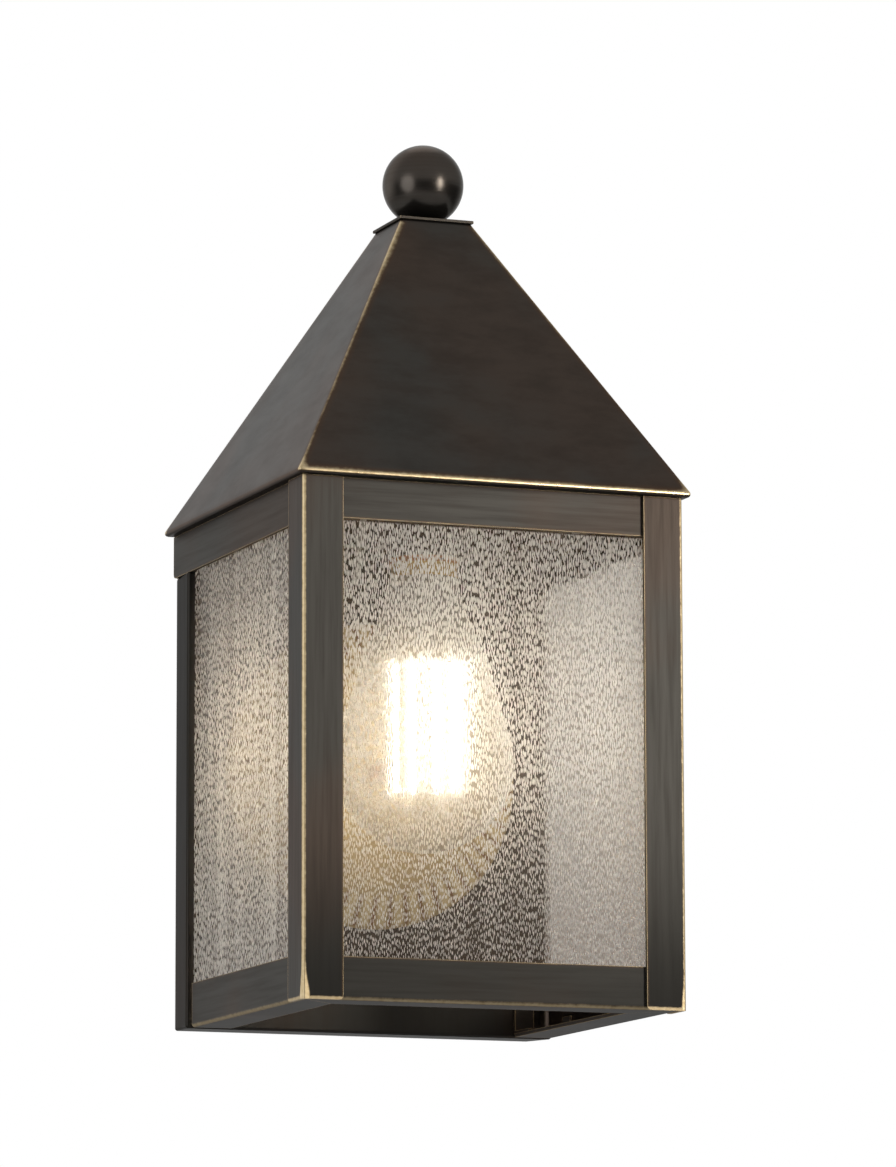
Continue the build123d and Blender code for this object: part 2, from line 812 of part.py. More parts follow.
# Bushing in the cap's outlet, which keeps the leads off the sheet edge
bushing_front_y = axis_y + socket_cap_radius - socket_cap_wall - 1.4
with BuildPart() as socket_lead_bushing:
    with BuildSketch(Plane.XZ.offset(-bushing_front_y)):
        with Locations((0, lead_z)):
            Circle(outlet_radius - running_gap)
    extrude(amount=-socket_cap_wall - 4)
    with BuildSketch(Plane.XZ.offset(-axis_y - socket_cap_radius)):
        with Locations((0, lead_z)):
            Circle(outlet_radius + 1)
    extrude(amount=-2.6)
    with BuildSketch(Plane.XZ.offset(-axis_y)):
        with Locations((-lead_spacing / 2, lead_z), (lead_spacing / 2, lead_z)):
            Circle(lead_radius + running_gap)
    extrude(amount=-3 * socket_cap_radius, mode=Mode.SUBTRACT)
keep(socket_lead_bushing, "socket_lead_bushing")

# Bulb: pear-shaped clear envelope, screw base and a ring of straight filaments


def bulb_profile(inset, neck):
    """Half outline of the envelope from its bottom to its neck, drawn in by inset."""
    radius = bulb_radius - inset
    join = math.radians(16)
    bottom = (0, bulb_centre_z - radius)
    waist = (radius * math.cos(math.radians(-30)), bulb_centre_z - radius / 2)
    join_point = (radius * math.cos(join), bulb_centre_z + radius * math.sin(join))
    shoulder = (bulb_shoulder_radius - inset, bulb_centre_z + bulb_shoulder_above_centre)
    ThreePointArc(bottom, waist, join_point)
    Spline(
        join_point,
        shoulder,
        neck,
        tangents=[(-math.sin(join), math.cos(join)), (-0.12, 1)],
    )
    return bottom


envelope_top_z = base_thread_z + base_pitch
envelope_top_radius = base_bore_radius - 0.25
lamp_plane = Plane((0, axis_y, 0), x_dir=(1, 0, 0), z_dir=(0, -1, 0))
lamp_axis = Axis((0, axis_y, 0), (0, 0, 1))

with BuildPart() as bulb_glass:
    with BuildSketch(lamp_plane):
        with BuildLine():
            outer_neck = (bulb_neck_radius, bulb_neck_z)
            inner_neck = (envelope_top_radius - bulb_wall, bulb_neck_z - bulb_wall)
            outer_bottom = bulb_profile(0, outer_neck)
            inner_bottom = bulb_profile(bulb_wall, inner_neck)
            Polyline(
                outer_neck,
                (envelope_top_radius, bulb_neck_z),
                (envelope_top_radius, envelope_top_z),
                (envelope_top_radius - bulb_wall, envelope_top_z),
                inner_neck,
            )
            Line(outer_bottom, inner_bottom)
        make_face()
    revolve(axis=lamp_axis)
keep(bulb_glass, "bulb_glass")

with BuildPart() as bulb_screw_base:
    with BuildSketch(lamp_plane):
        with BuildLine():
            Polyline(
                (base_bore_radius, base_band_z),
                (base_bore_radius, bulb_neck_z + running_gap),
                (base_crest_radius, bulb_neck_z + running_gap),
                (base_crest_radius, base_thread_z - base_pitch / 4),
                (base_root_radius, base_thread_z),
            )
            for turn in range(base_threads):
                low_z = base_thread_z + turn * base_pitch
                ThreePointArc(
                    (base_root_radius, low_z),
                    (base_crest_radius, low_z + base_pitch / 2),
                    (base_root_radius, low_z + base_pitch),
                )
            Polyline(
                (base_root_radius, base_band_z),
                (base_root_radius, base_cone_z),
                (base_cone_radius, base_top_z),
                (base_cone_radius - 0.5, base_top_z),
                (base_bore_radius, base_cone_z - 0.4),
                (base_bore_radius, base_band_z),
            )
        make_face()
    revolve(axis=lamp_axis)
keep(bulb_screw_base, "bulb_screw_base")

with BuildPart() as bulb_base_insulator:
    with BuildSketch(lamp_plane):
        with BuildLine():
            Polyline(
                (tip_pin_radius + running_gap, base_top_z - 1.2),
                (base_cone_radius - 0.9, base_top_z - 0.2),
                (base_cone_radius - 0.9, base_top_z + 0.4),
                (tip_radius + 0.6, tip_z),
                (tip_pin_radius + running_gap, tip_z),
                close=True,
            )
        make_face()
    revolve(axis=lamp_axis)
keep(bulb_base_insulator, "bulb_base_insulator")

with BuildPart() as bulb_tip_contact:
    with BuildSketch(Plane.XY.offset(tip_z - insulator_height)):
        with Locations((0, axis_y)):
            Circle(tip_pin_radius)
    extrude(amount=insulator_height + running_gap)
    with BuildSketch(Plane.XY.offset(tip_z + running_gap)):
        with Locations((0, axis_y)):
            Circle(tip_radius)
    extrude(amount=tip_height - running_gap, taper=40)
keep(bulb_tip_contact, "bulb_tip_contact")

with BuildPart() as bulb_stem:
    with BuildSketch(lamp_plane):
        with BuildLine():
            Polyline(
                (0, stem_top_z - 1),
                (stem_radius + 0.8, stem_top_z - 1),
                (stem_flare_radius - 0.8, stem_top_z + 4),
                (stem_flare_radius, stem_top_z + 4),
                (stem_radius + 2.4, stem_top_z - 3),
                (stem_radius, stem_top_z - stem_length / 2),
                (stem_radius, stem_bottom_z),
                (pillar_radius, stem_bottom_z - 3),
                (pillar_radius, filament_bottom_z - 2),
                (0, filament_bottom_z - 2),
                close=True,
            )
        make_face()
    revolve(axis=lamp_axis)
keep(bulb_stem, "bulb_stem")

with BuildPart() as bulb_filaments:
    with BuildSketch(Plane.XY.offset(filament_bottom_z)):
        with Locations((0, axis_y)):
            with PolarLocations(filament_circle_radius, filament_count):
                Circle(filament_radius)
    extrude(amount=filament_length)
keep(bulb_filaments, "bulb_filaments")

# Two wire spiders, one at each end of the filaments, each held by the glass pillar
with BuildPart() as bulb_support_wires:
    wire_reach = filament_circle_radius + support_wire_radius
    hub_radius = pillar_radius + running_gap
    for wire_z in (
        filament_bottom_z - support_wire_radius - running_gap,
        filament_top_z + support_wire_radius + running_gap,
    ):
        for turn in range(filament_count):
            angle = math.radians(360 * turn / filament_count)
            outward = (math.cos(angle), math.sin(angle), 0)
            start = (0, axis_y, wire_z)
            with BuildSketch(Plane(start, z_dir=outward).offset(hub_radius)):
                Circle(support_wire_radius)
            extrude(amount=wire_reach - hub_radius)
        with BuildSketch(Plane.XY.offset(wire_z - support_wire_radius)):
            with Locations((0, axis_y)):
                Circle(hub_radius + 0.6)
                Circle(hub_radius, mode=Mode.SUBTRACT)
        extrude(amount=2 * support_wire_radius)
keep(bulb_support_wires, "bulb_support_wires")

# Fluted brass reflector in front of the pan
flute_slope_y = reflector_shoulder_height / (reflector_radius - reflector_shoulder_radius)


def reflector_profile(inset):
    """Closed half section of the dome over the pan's face, drawn in by inset."""
    base_y = pan_front_y
    shoulder = (reflector_shoulder_radius - inset / 2, reflector_shoulder_y + inset)
    crown = (0, reflector_crown_y + inset)
    middle = (
        shoulder[0] / 2,
        crown[1] + (shoulder[1] - crown[1]) / 4,
    )
    rim = (reflector_radius - (reflector_rim if inset else 0), base_y)
    Line((0, base_y), rim)
    Line(rim, shoulder)
    ThreePointArc(shoulder, middle, crown)
    Line(crown, (0, base_y))


def flute_plane(index):
    """Plane square to one flute, at its outer end, facing the middle of the dome."""
    angle = math.radians(360 * index / flute_count)
    outward = Vector(math.cos(angle), 0, math.sin(angle))
    fall = Vector(0, -flute_slope_y, 0)
    direction = (fall - outward).normalized()
    depth_y = pan_front_y - flute_slope_y * (reflector_radius - flute_outer_radius)
    sink = flute_radius - flute_proud
    origin = outward * flute_outer_radius + Vector(0, depth_y + sink, 0)
    return Plane(origin=origin, z_dir=direction)


flute_length = (flute_outer_radius - flute_inner_radius) * math.hypot(1, flute_slope_y)
with BuildPart() as reflector_dish:
    with BuildSketch(Plane.XY):
        with BuildLine():
            reflector_profile(0)
        make_face()
    revolve(axis=Axis.Y)
    with BuildSketch(*[flute_plane(index) for index in range(flute_count)]):
        Circle(flute_radius)
    extrude(amount=flute_length, taper=3)
    place_box(
        (-2 * reflector_radius, pan_front_y, -2 * reflector_radius),
        (2 * reflector_radius, 0, 2 * reflector_radius),
        mode=Mode.SUBTRACT,
    )
    with BuildSketch(Plane.XY):
        with BuildLine():
            reflector_profile(reflector_sheet)
        make_face()
    revolve(axis=Axis.Y, mode=Mode.SUBTRACT)
    wallward_holes(
        [(0, 0)], reflector_screw_radius + 0.2, reflector_crown_y - 1, pan_front_y
    )
keep(reflector_dish, "reflector_dish")

standoff_length = reflector_crown_height - reflector_sheet - running_gap
reflector_standoff = hex_nuts(
    [Plane((0, pan_front_y, 0), z_dir=(0, -1, 0))],
    standoff_flats,
    standoff_length,
    reflector_screw_radius + running_gap,
)
keep(reflector_standoff, "reflector_standoff")

reflector_screw = screws(
    [Plane((0, reflector_crown_y, 0), x_dir=(1, 0, 0), z_dir=(0, -1, 0))],
    reflector_screw_head_radius,
    reflector_screw_head_height,
    reflector_screw_radius,
    reflector_crown_height,
)
keep(reflector_screw, "reflector_screw")

# Crossbar, studs, nuts and ground screw behind and through the pan
with BuildPart() as mounting_crossbar:
    with BuildSketch(Plane.XZ):
        Rectangle(crossbar_length, crossbar_width)
        fillet(vertices(), crossbar_corner)
        with Locations((-slot_spacing / 2, 0), (slot_spacing / 2, 0)):
            SlotOverall(slot_length, slot_width, mode=Mode.SUBTRACT)
        with Locations(*stud_places):
            Circle(stud_radius + running_gap, mode=Mode.SUBTRACT)
        with Locations((ground_screw_x, 0)):
            Circle(ground_screw_radius + running_gap, mode=Mode.SUBTRACT)
    extrude(amount=crossbar_thickness)
keep(mounting_crossbar, "mounting_crossbar")

stud_end_y = pan_front_y - stud_nut_height - stud_tip
with BuildPart() as mounting_studs:
    with BuildSketch(Plane.XZ):
        with Locations(*stud_places):
            Circle(stud_radius)
    extrude(amount=-stud_end_y)
    chamfer(mounting_studs.edges().group_by(Axis.Y)[0], 0.5)
keep(mounting_studs, "mounting_studs")


def facing_front(x, y, z):
    """Plane at a point, whose normal faces the front."""
    return Plane((x, y, z), x_dir=(1, 0, 0), z_dir=(0, -1, 0))


stud_lock_nuts = hex_nuts(
    [facing_front(x, -crossbar_thickness, z) for x, z in stud_places],
    stud_nut_flats,
    stud_nut_height,
    stud_radius + running_gap,
)
keep(stud_lock_nuts, "stud_lock_nuts")

stud_front_nuts = hex_nuts(
    [facing_front(x, pan_front_y, z) for x, z in stud_places],
    stud_nut_flats,
    stud_nut_height,
    stud_radius + running_gap,
)
keep(stud_front_nuts, "stud_front_nuts")

with BuildPart() as ground_screw:
    with BuildSketch(facing_front(ground_screw_x, -crossbar_thickness, 0)):
        Circle(ground_head_flats / 2 + 0.8)
    extrude(amount=0.9)
    with BuildSketch(facing_front(ground_screw_x, -crossbar_thickness, 0)):
        RegularPolygon(ground_head_flats / 2, 6, major_radius=False)
    extrude(amount=ground_head_height)
    with BuildSketch(facing_front(ground_screw_x, -crossbar_thickness, 0)):
        Circle(ground_screw_radius)
    extrude(amount=-crossbar_thickness)
keep(ground_screw, "ground_screw")

# Leads from the holder over the top frame and down through the pan's top to the terminal block


def lead(side):
    """Insulated lead on one side of the pair, from its lug to its terminal."""
    x = side * lead_spacing / 2
    start_y = lug_front_y + lug_thickness
    points = [(x, start_y, lead_z), (x, lead_drop_y, lead_z), (x, lead_drop_y, block_top_z)]
    with BuildPart() as wire:
        with BuildLine():
            FilletPolyline(*points, radius=lead_bend)
        with BuildSketch(Plane(points[0], z_dir=(0, 1, 0))):
            Circle(lead_radius)
        sweep()
    return wire


white_lead = lead(-1)
keep(white_lead, "white_lead")
black_lead = lead(1)
keep(black_lead, "black_lead")

with BuildPart() as pan_grommet:
    grommet_outer = grommet_radius + grommet_wall
    rim_outer = grommet_outer + grommet_flange
    for low_z, radius, height in (
        (pan_top_z, rim_outer, grommet_flange_height),
        (pan_top_z - pan_sheet, grommet_outer, pan_sheet),
        (pan_top_z - pan_sheet - grommet_flange_height, rim_outer, grommet_flange_height),
    ):
        with BuildSketch(Plane.XY.offset(low_z)):
            with Locations((0, lead_drop_y)):
                Circle(radius)
        extrude(amount=height)
    through_holes(
        [(0, lead_drop_y)],
        grommet_radius,
        pan_top_z - pan_sheet - grommet_flange_height,
        pan_top_z + grommet_flange_height,
    )
keep(pan_grommet, "pan_grommet")

# Two-pole terminal block on the back of the pan's face
block_half = block_width / 2
with BuildPart() as terminal_block:
    place_box(
        (-block_half, pan_inner_y, block_low_z),
        (block_half, pan_inner_y + block_depth, block_top_z),
    )
    place_box(
        (-block_half - block_ear, pan_inner_y, block_screw_z - block_ear / 2),
        (block_half + block_ear, pan_inner_y + block_ear_depth, block_screw_z + block_ear / 2),
    )
    wallward_holes(
        block_screw_places, block_screw_radius + 0.15, pan_inner_y, pan_inner_y + block_depth
    )
    through_holes(
        [(-lead_spacing / 2, lead_drop_y), (lead_spacing / 2, lead_drop_y)],
        block_port_radius,
        block_low_z,
        block_low_z + block_port_depth,
    )
keep(terminal_block, "terminal_block")

block_screws = screws(
    [
        Plane((x, pan_inner_y + block_ear_depth, z), x_dir=(1, 0, 0), z_dir=(0, 1, 0))
        for x, z in block_screw_places
    ],
    2 * block_screw_radius,
    1.2 * block_screw_radius,
    block_screw_radius,
    block_ear_depth + pan_sheet + 0.8,
)
keep(block_screws, "block_screws")
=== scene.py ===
# %% [markdown]
# A wall lantern in aged bronze. It is a square frame of folded brass sheet under a hipped roof, with three
# panes of seeded glass, a clear bulb that hangs inside and a fluted brass reflector behind the bulb.
# The CAD model is the frame of this scene: it already holds every rail, post, nut and lead at its place. The
# scene gives each of them its finish, and remakes the few pieces whose beauty is in a finer form: the
# roof, the ball, the panes, the bulb's glass and thread, and the reflector.

# %% Load the lantern's frame
import math

import bmesh
import bpy
from mathutils import Matrix, Vector


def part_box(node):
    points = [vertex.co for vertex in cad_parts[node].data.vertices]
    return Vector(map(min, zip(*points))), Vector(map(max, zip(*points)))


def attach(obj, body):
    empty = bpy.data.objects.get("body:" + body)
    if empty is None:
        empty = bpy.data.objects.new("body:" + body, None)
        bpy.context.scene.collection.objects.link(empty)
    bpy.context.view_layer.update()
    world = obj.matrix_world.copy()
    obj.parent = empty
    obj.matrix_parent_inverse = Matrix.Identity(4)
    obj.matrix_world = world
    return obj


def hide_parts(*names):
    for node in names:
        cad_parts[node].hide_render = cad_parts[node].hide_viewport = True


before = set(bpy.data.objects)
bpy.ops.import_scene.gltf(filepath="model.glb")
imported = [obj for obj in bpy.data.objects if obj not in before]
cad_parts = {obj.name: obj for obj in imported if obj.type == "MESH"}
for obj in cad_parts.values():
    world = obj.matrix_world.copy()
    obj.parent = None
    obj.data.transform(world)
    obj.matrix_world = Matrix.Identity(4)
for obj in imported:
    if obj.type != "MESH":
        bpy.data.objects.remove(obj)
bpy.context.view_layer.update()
MM = 0.001

# %% [markdown]
# The camera comes first, because everything later is judged through it. A long lens from below and from the
# left keeps the posts nearly parallel, as a catalogue picture does. It is set with a position and
# three directions, which is surer than three Euler angles when the head is a little tilted.

# %% Camera
camera_place = (-0.84186, -2.25974, -0.3066)
camera_yaw = math.radians(21.331)
camera_pitch = math.radians(9.096)
camera_roll = math.radians(-0.151)
focal_length = 190.3
film_width = 36
far_limit = 60

ahead = Vector(
    (
        math.sin(camera_yaw) * math.cos(camera_pitch),
        math.cos(camera_yaw) * math.cos(camera_pitch),
        math.sin(camera_pitch),
    )
)
level = Vector((math.cos(camera_yaw), -math.sin(camera_yaw), 0))
upward = level.cross(ahead)
across = level * math.cos(camera_roll) + upward * math.sin(camera_roll)
upright = upward * math.cos(camera_roll) - level * math.sin(camera_roll)
head = Matrix((across, upright, -ahead)).transposed().to_4x4()

lens = bpy.data.cameras.new("catalogue_lens")
lens.lens = focal_length
lens.sensor_width = film_width
lens.clip_end = far_limit
camera = bpy.data.objects.new("catalogue_camera", lens)
camera.matrix_world = Matrix.Translation(camera_place) @ head
bpy.context.scene.collection.objects.link(camera)
bpy.context.scene.camera = camera
print("Camera at", tuple(round(value, 3) for value in camera.location))

# %% [markdown]
# Shader maths reads best as plain expressions. A Wire stands for one socket, and sums, differences and
# products of wires add the Math nodes by themselves, while | takes the larger of two and & the smaller.

# %% Wires
class Wire:
    """An output socket that can stand in an expression of numbers."""

    def __init__(self, nodes, socket):
        self.nodes = nodes
        self.socket = socket

    def maths(self, operation, *values):
        return self.nodes.add("ShaderNodeMath", {"operation": operation}, dict(enumerate(values)))

    def __add__(self, other):
        return self.maths("ADD", self, other)

    def __radd__(self, other):
        return self.maths("ADD", other, self)

    def __sub__(self, other):
        return self.maths("SUBTRACT", self, other)

    def __rsub__(self, other):
        return self.maths("SUBTRACT", other, self)

    def __mul__(self, other):
        return self.maths("MULTIPLY", self, other)

    def __rmul__(self, other):
        return self.maths("MULTIPLY", other, self)

    def __pow__(self, other):
        return self.maths("POWER", self, other)

    def __or__(self, other):
        return self.maths("MAXIMUM", self, other)

    def __and__(self, other):
        return self.maths("MINIMUM", self, other)

    def __abs__(self):
        return self.maths("ABSOLUTE", self)


print("Wires ready")

# %% [markdown]
# Every other node comes from one method, which takes the node's type, its settings and the values or
# links of its sockets. The world has one tree of such nodes, and so has each material.

# %% Nodes
def pick(sockets, name):
    """The socket with a number, or with a name among those in use."""
    if isinstance(name, int):
        return sockets[name]
    return next(socket for socket in sockets if socket.enabled and socket.name == name)


class Nodes:
    """The node tree of one material or of the world."""

    def __init__(self, tree):
        self.tree = tree
        tree.nodes.clear()

    def add(self, kind, settings, sockets, output=0):
        """A node with its settings and sockets, as the Wire of one output if it has any."""
        node = self.tree.nodes.new(kind)
        for name, value in settings.items():
            setattr(node, name, value)
        for name, value in sockets.items():
            if isinstance(value, Wire):
                self.tree.links.new(value.socket, pick(node.inputs, name))
            else:
                pick(node.inputs, name).default_value = value
        return Wire(self, pick(node.outputs, output)) if node.outputs else None


print("Nodes ready")

# %% [markdown]
# A few mixtures come back in every finish: a colour between two others, a soft threshold, a noise
# stretched along the way a sheet was brushed, and a bump.

# %% Mixtures used by the finishes
def blend(nodes, share, first, second):
    """A colour between two others."""
    sockets = {"Factor": share, "A": first, "B": second}
    return nodes.add("ShaderNodeMix", {"data_type": "RGBA"}, sockets, "Result")


def ease(nodes, value, low, high):
    """A soft step from 0 at low to 1 at high."""
    settings = {"interpolation_type": "SMOOTHSTEP"}
    sockets = {"Value": value, "From Min": low, "From Max": high}
    return nodes.add("ShaderNodeMapRange", settings, sockets)


def place(nodes):
    """Position in the lantern's own frame."""
    return nodes.add("ShaderNodeTexCoord", {}, {}, "Object")


def part_of(nodes, vector, axis):
    """One part of a vector."""
    return nodes.add("ShaderNodeSeparateXYZ", {}, {0: vector}, axis)


def cloud(nodes, lumps, detail, roughness=0.5):
    """Noise between 0 and 1, with the number of its lumps per metre along each axis."""
    spot = nodes.add("ShaderNodeVectorMath", {"operation": "MULTIPLY"}, {0: place(nodes), 1: lumps})
    sockets = {"Vector": spot, "Scale": 1.0, "Detail": detail, "Roughness": roughness}
    return nodes.add("ShaderNodeTexNoise", {}, sockets)


def bump(nodes, height, depth, strength):
    """A normal bent by a height, whose full range is a depth in metres."""
    sockets = {"Height": height, "Distance": depth, "Strength": strength}
    return nodes.add("ShaderNodeBump", {}, sockets, "Normal")


print("Mixtures ready")

# %% [markdown]
# A material is built from shaders, and a share of one over another makes most finishes. How far a surface
# turns away from the eye decides how much of it is mirror, for glass as for lacquer.

# %% Shaders and materials
def slant_of(nodes):
    """0 where a surface faces the eye, and 1 where it is seen edge on."""
    return nodes.add("ShaderNodeLayerWeight", {}, {"Blend": 0.5}, "Facing")


def shader(nodes, kind, colour, **others):
    """One plain shader of a colour."""
    return nodes.add("ShaderNode" + kind, {}, {"Color": (*colour, 1), **others})


def layered(nodes, share, under, over):
    """A share of one shader over another."""
    return nodes.add("ShaderNodeMixShader", {}, {0: share, 1: under, 2: over})


def put_on(nodes, surface):
    """Makes a shader the material's surface."""
    nodes.add("ShaderNodeOutputMaterial", {}, {"Surface": surface})


def principled(nodes, **sockets):
    """Puts on a Principled shader, with its sockets by their names in lower case."""
    named = {name.replace("_", " ").title(): value for name, value in sockets.items()}
    put_on(nodes, nodes.add("ShaderNodeBsdfPrincipled", {}, named))


def new_material(name):
    """An empty material and its nodes."""
    material = bpy.data.materials.new(name)
    material.use_nodes = True
    return material, Nodes(material.node_tree)


print("Shaders and materials ready")

# %% [markdown]
# The lantern floats in a white studio. The camera sees white air, also through a pane. What lights the
# object is a plain grey. A mirror sees a dome that is dark in front and bright behind, as in a studio
# with black cards beside the camera, so that flat metal reads dark and nothing bleaches. The floor lies
# far below, out of the way of a camera that looks up.

# %% World and floor
plain_light = 0.5
floor_level = -2.6
floor_reach = 6


def seen_ray(nodes, name):
    """One if the ray is of the named kind."""
    return nodes.add("ShaderNodeLightPath", {}, {}, name)


def to_the_eye(nodes):
    """One if the camera sees the ray's end, straight or through glass."""
    return seen_ray(nodes, "Is Camera Ray") | seen_ray(nodes, "Is Transmission Ray")


world = bpy.data.worlds.new("studio_air")
bpy.context.scene.world = world
world.use_nodes = True
air = Nodes(world.node_tree)
shown = to_the_eye(air)
mirrored = (seen_ray(air, "Is Glossy Ray") - shown) | 0.0
way = air.add("ShaderNodeTexCoord", {}, {}, "Generated")
up = part_of(air, way, "Z")
behind = ease(air, part_of(air, way, "Y"), 0.1, 0.8)
front_dome = 0.05 + 0.42 * ease(air, up, 0.05, 0.19)
back_dome = 0.45 + 0.60 * ease(air, up, -0.32, 0.0)
dome = front_dome + behind * (back_dome - front_dome)
strength = shown + (1.0 - shown) * (plain_light + mirrored * (dome - plain_light))
background = shader(air, "Background", (1, 1, 1), Strength=strength)
air.add("ShaderNodeOutputWorld", {}, {"Surface": background})

floor_material, nodes = new_material("studio_floor")
pale = shader(nodes, "BsdfDiffuse", (0.8, 0.8, 0.8))
white = shader(nodes, "Emission", (1, 1, 1), Strength=1.0)
put_on(nodes, layered(nodes, to_the_eye(nodes), pale, white))

sides = ((-1, -1), (1, -1), (1, 1), (-1, 1))
corners = [(x * floor_reach, y * floor_reach, floor_level) for x, y in sides]
floor_mesh = bpy.data.meshes.new("studio_floor")
floor_mesh.from_pydata(corners, [], [(0, 1, 2, 3)])
floor = bpy.data.objects.new("studio_floor", floor_mesh)
floor_mesh.materials.append(floor_material)
bpy.context.scene.collection.objects.link(floor)
print("Floor at", floor_level)

# %% [markdown]
# Three soft boxes light the metal: a small warm one in front on the right, which gives the ball its
# highlight, a large and dimmer cool one on the left, and one overhead. Each is an ellipse, so that its
# reflection in the ball has no corners. It is given by its direction, its distance and its brightness,
# since brightness is what a reflection of it shows.

# %% Soft boxes
aim = Vector((0, -0.076, 0.05))


def soft_box(name, direction, distance, width, height, brightness, colour):
    """An area lamp whose surface has a brightness, turned to the lantern's middle."""
    data = bpy.data.lights.new(name, "AREA")
    data.shape = "ELLIPSE"
    data.size = width
    data.size_y = height
    data.energy = brightness * math.pi * width * height * math.pi / 4
    data.color = colour
    lamp = bpy.data.objects.new(name, data)
    towards = Vector(direction).normalized()
    lamp.location = aim + towards * distance
    lamp.rotation_euler = (-towards).to_track_quat("-Z", "Y").to_euler()
    lamp.visible_camera = False
    bpy.context.scene.collection.objects.link(lamp)


soft_box("warm_box", (0.48, -0.87, 0.155), 1.0, 0.22, 0.46, 12.5, (1.0, 0.96, 0.90))
soft_box("cool_box", (-0.89, -0.40, 0.10), 1.0, 0.7, 0.8, 1.6, (0.97, 0.98, 1.0))
soft_box("top_box", (0.2, 0.5, 1.0), 1.4, 0.8, 0.8, 0.8, (1.0, 1.0, 1.0))
print("Soft boxes hung")

# %% [markdown]
# Aged bronze is brass sheet whose dark patina is rubbed through where a hand passes. The Bevel node finds
# the small edges: where its rounded normal leaves the true one, the sheet is near an edge. The posts'
# corners and the lower rails are rubbed more, and more towards the foot, so their wear is set by
# position, from the boxes of the CAD's own posts and rails.

# %% Where the bronze is rubbed
post_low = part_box("front_left_post")[0]
foot_level = post_low.z
half_width = -post_low.x
front_face = post_low.y
rail_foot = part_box("front_bottom_rail")[0].z
rail_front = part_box("front_bottom_rail")[0].y
rail_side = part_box("right_bottom_rail")[1].x


def edge_band(nodes, radius):
    """Rises from 0 on a flat sheet towards 0.3 on an edge, over a radius in metres."""
    rounded = nodes.add("ShaderNodeBevel", {"samples": 6}, {"Radius": radius})
    true = nodes.add("ShaderNodeNewGeometry", {}, {}, "True Normal")
    settings = {"operation": "DOT_PRODUCT"}
    return 1.0 - nodes.add("ShaderNodeVectorMath", settings, {0: rounded, 1: true}, "Value")


def post_wear(nodes, speck):
    """Wear on the outer corners of the posts, wider towards the foot, and on their lower ends."""
    spot = place(nodes)
    side = part_of(nodes, spot, "X")
    height = part_of(nodes, spot, "Z")
    beside = half_width - abs(side)
    behind = part_of(nodes, spot, "Y") - front_face
    near_foot = 1.0 - ease(nodes, height, foot_level, foot_level + 0.018)
    on_right = ease(nodes, side, -0.01, 0.01)
    reach = 0.0010 + (0.0018 - 0.0010 * on_right) * near_foot**2.0 + 0.0005 * (speck - 0.5)
    corner = 1.0 - ease(nodes, (beside | behind) - reach, -0.0004, 0.0004)
    hem = 1.0 - ease(nodes, height - foot_level - 0.0006 * speck, 0.0004, 0.0011)
    return corner | 0.6 * hem


def rail_wear(nodes, speck):
    """Wear on the lower outer edge of the bottom rails."""
    spot = place(nodes)
    beside = rail_side - abs(part_of(nodes, spot, "X"))
    behind = part_of(nodes, spot, "Y") - rail_front
    over = part_of(nodes, spot, "Z") - rail_foot
    return 0.5 - 0.5 * ease(nodes, (over | (beside & behind)) - 0.0007 * speck, 0.0001, 0.0012)


def painted_foot_shade(nodes):
    """Rises to 1 towards the foot of what faces forward, where a painted shade darkens the patina."""
    facing = nodes.add("ShaderNodeNewGeometry", {}, {}, "True Normal")
    low = 1.0 - ease(nodes, part_of(nodes, place(nodes), "Z"), foot_level, foot_level + 0.075)
    return low * ease(nodes, part_of(nodes, facing, "Y"), -0.7, -0.9)


print("Posts stand from", round(foot_level / MM, 1), "millimetres")

# %% [markdown]
# The patina itself is a dark metal with a slow change of hue between green-brown and red-brown and fine
# brush lines along the sheet. A painted shade darkens it towards the foot of what faces forward.

# %% Patina
green_patina = (0.071, 0.067, 0.060)
red_patina = (0.083, 0.064, 0.052)
brush_line = (0.030, 0.025, 0.021, 1)
# Painted shade: the colour the patina takes towards the foot of forward faces.
painted_shade_colour = (0.020, 0.019, 0.017, 1)


def patina(nodes, brushed, red, shade, foot):
    """Dark metal that changes between two hues, darker along the brush lines, with a painted shade towards
    the foot.
    """
    slow = cloud(nodes, (11, 11, 9), 3.0)
    hue = ease(nodes, slow + 0.15 * (brushed - 0.5) + red, 0.42, 0.62)
    green_brown = [part * shade for part in green_patina] + [1]
    red_brown = [part * shade for part in red_patina] + [1]
    colour = blend(nodes, hue, green_brown, red_brown)
    colour = blend(nodes, 0.35 * ease(nodes, brushed, 0.35, 0.75), colour, brush_line)
    # Painted shade towards the foot of forward faces.
    if foot:
        colour = blend(nodes, foot * painted_foot_shade(nodes), colour, painted_shade_colour)
    return colour


print("Patina ready")

# %% [markdown]
# Where the patina is rubbed, a thin brown halo leads over to bright brass. The rubbing follows the small
# edges, and also a rule of position, as on the posts, or the wear that a mesh brings, as on the roof.

# %% Rubbed shares
def rubbed_shares(nodes, speck, edges, wear, painted):
    """How far the patina is rubbed through to brass, and how far it is thinned around that."""
    patch = cloud(nodes, (45, 45, 45), 2.0)
    worn = edges * ease(nodes, edge_band(nodes, 0.0007) * (0.2 + 1.4 * patch), 0.06, 0.24)
    halo = edges * ease(nodes, edge_band(nodes, 0.0020) * (0.3 + 1.3 * patch), 0.02, 0.2)
    if wear:
        rubbed = wear(nodes, speck)
        worn = worn | rubbed
        halo = halo | rubbed
    if painted:
        rubbed = nodes.add("ShaderNodeAttribute", {"attribute_name": "worn"}, {}, "Fac")
        worn = worn | ease(nodes, rubbed + 0.25 * (speck - 0.5) + 0.4 * (patch - 0.5), 0.5, 1.05)
        halo = halo | ease(nodes, rubbed + 0.2 * (patch - 0.5), 0.1, 0.9)
    return worn, halo


print("Rubbed shares ready")

# %% [markdown]
# One function makes the bronze of the whole lantern, so that every sheet is the same metal, and only its
# grain, its wear, its hue and its brightness differ.

# %% Aged bronze
thin_patina = (0.13, 0.066, 0.032, 1)
deep_brass = (0.62, 0.44, 0.20, 1)
pale_brass = (0.96, 0.81, 0.54, 1)
brushed_relief = (0.00003, 0.35)


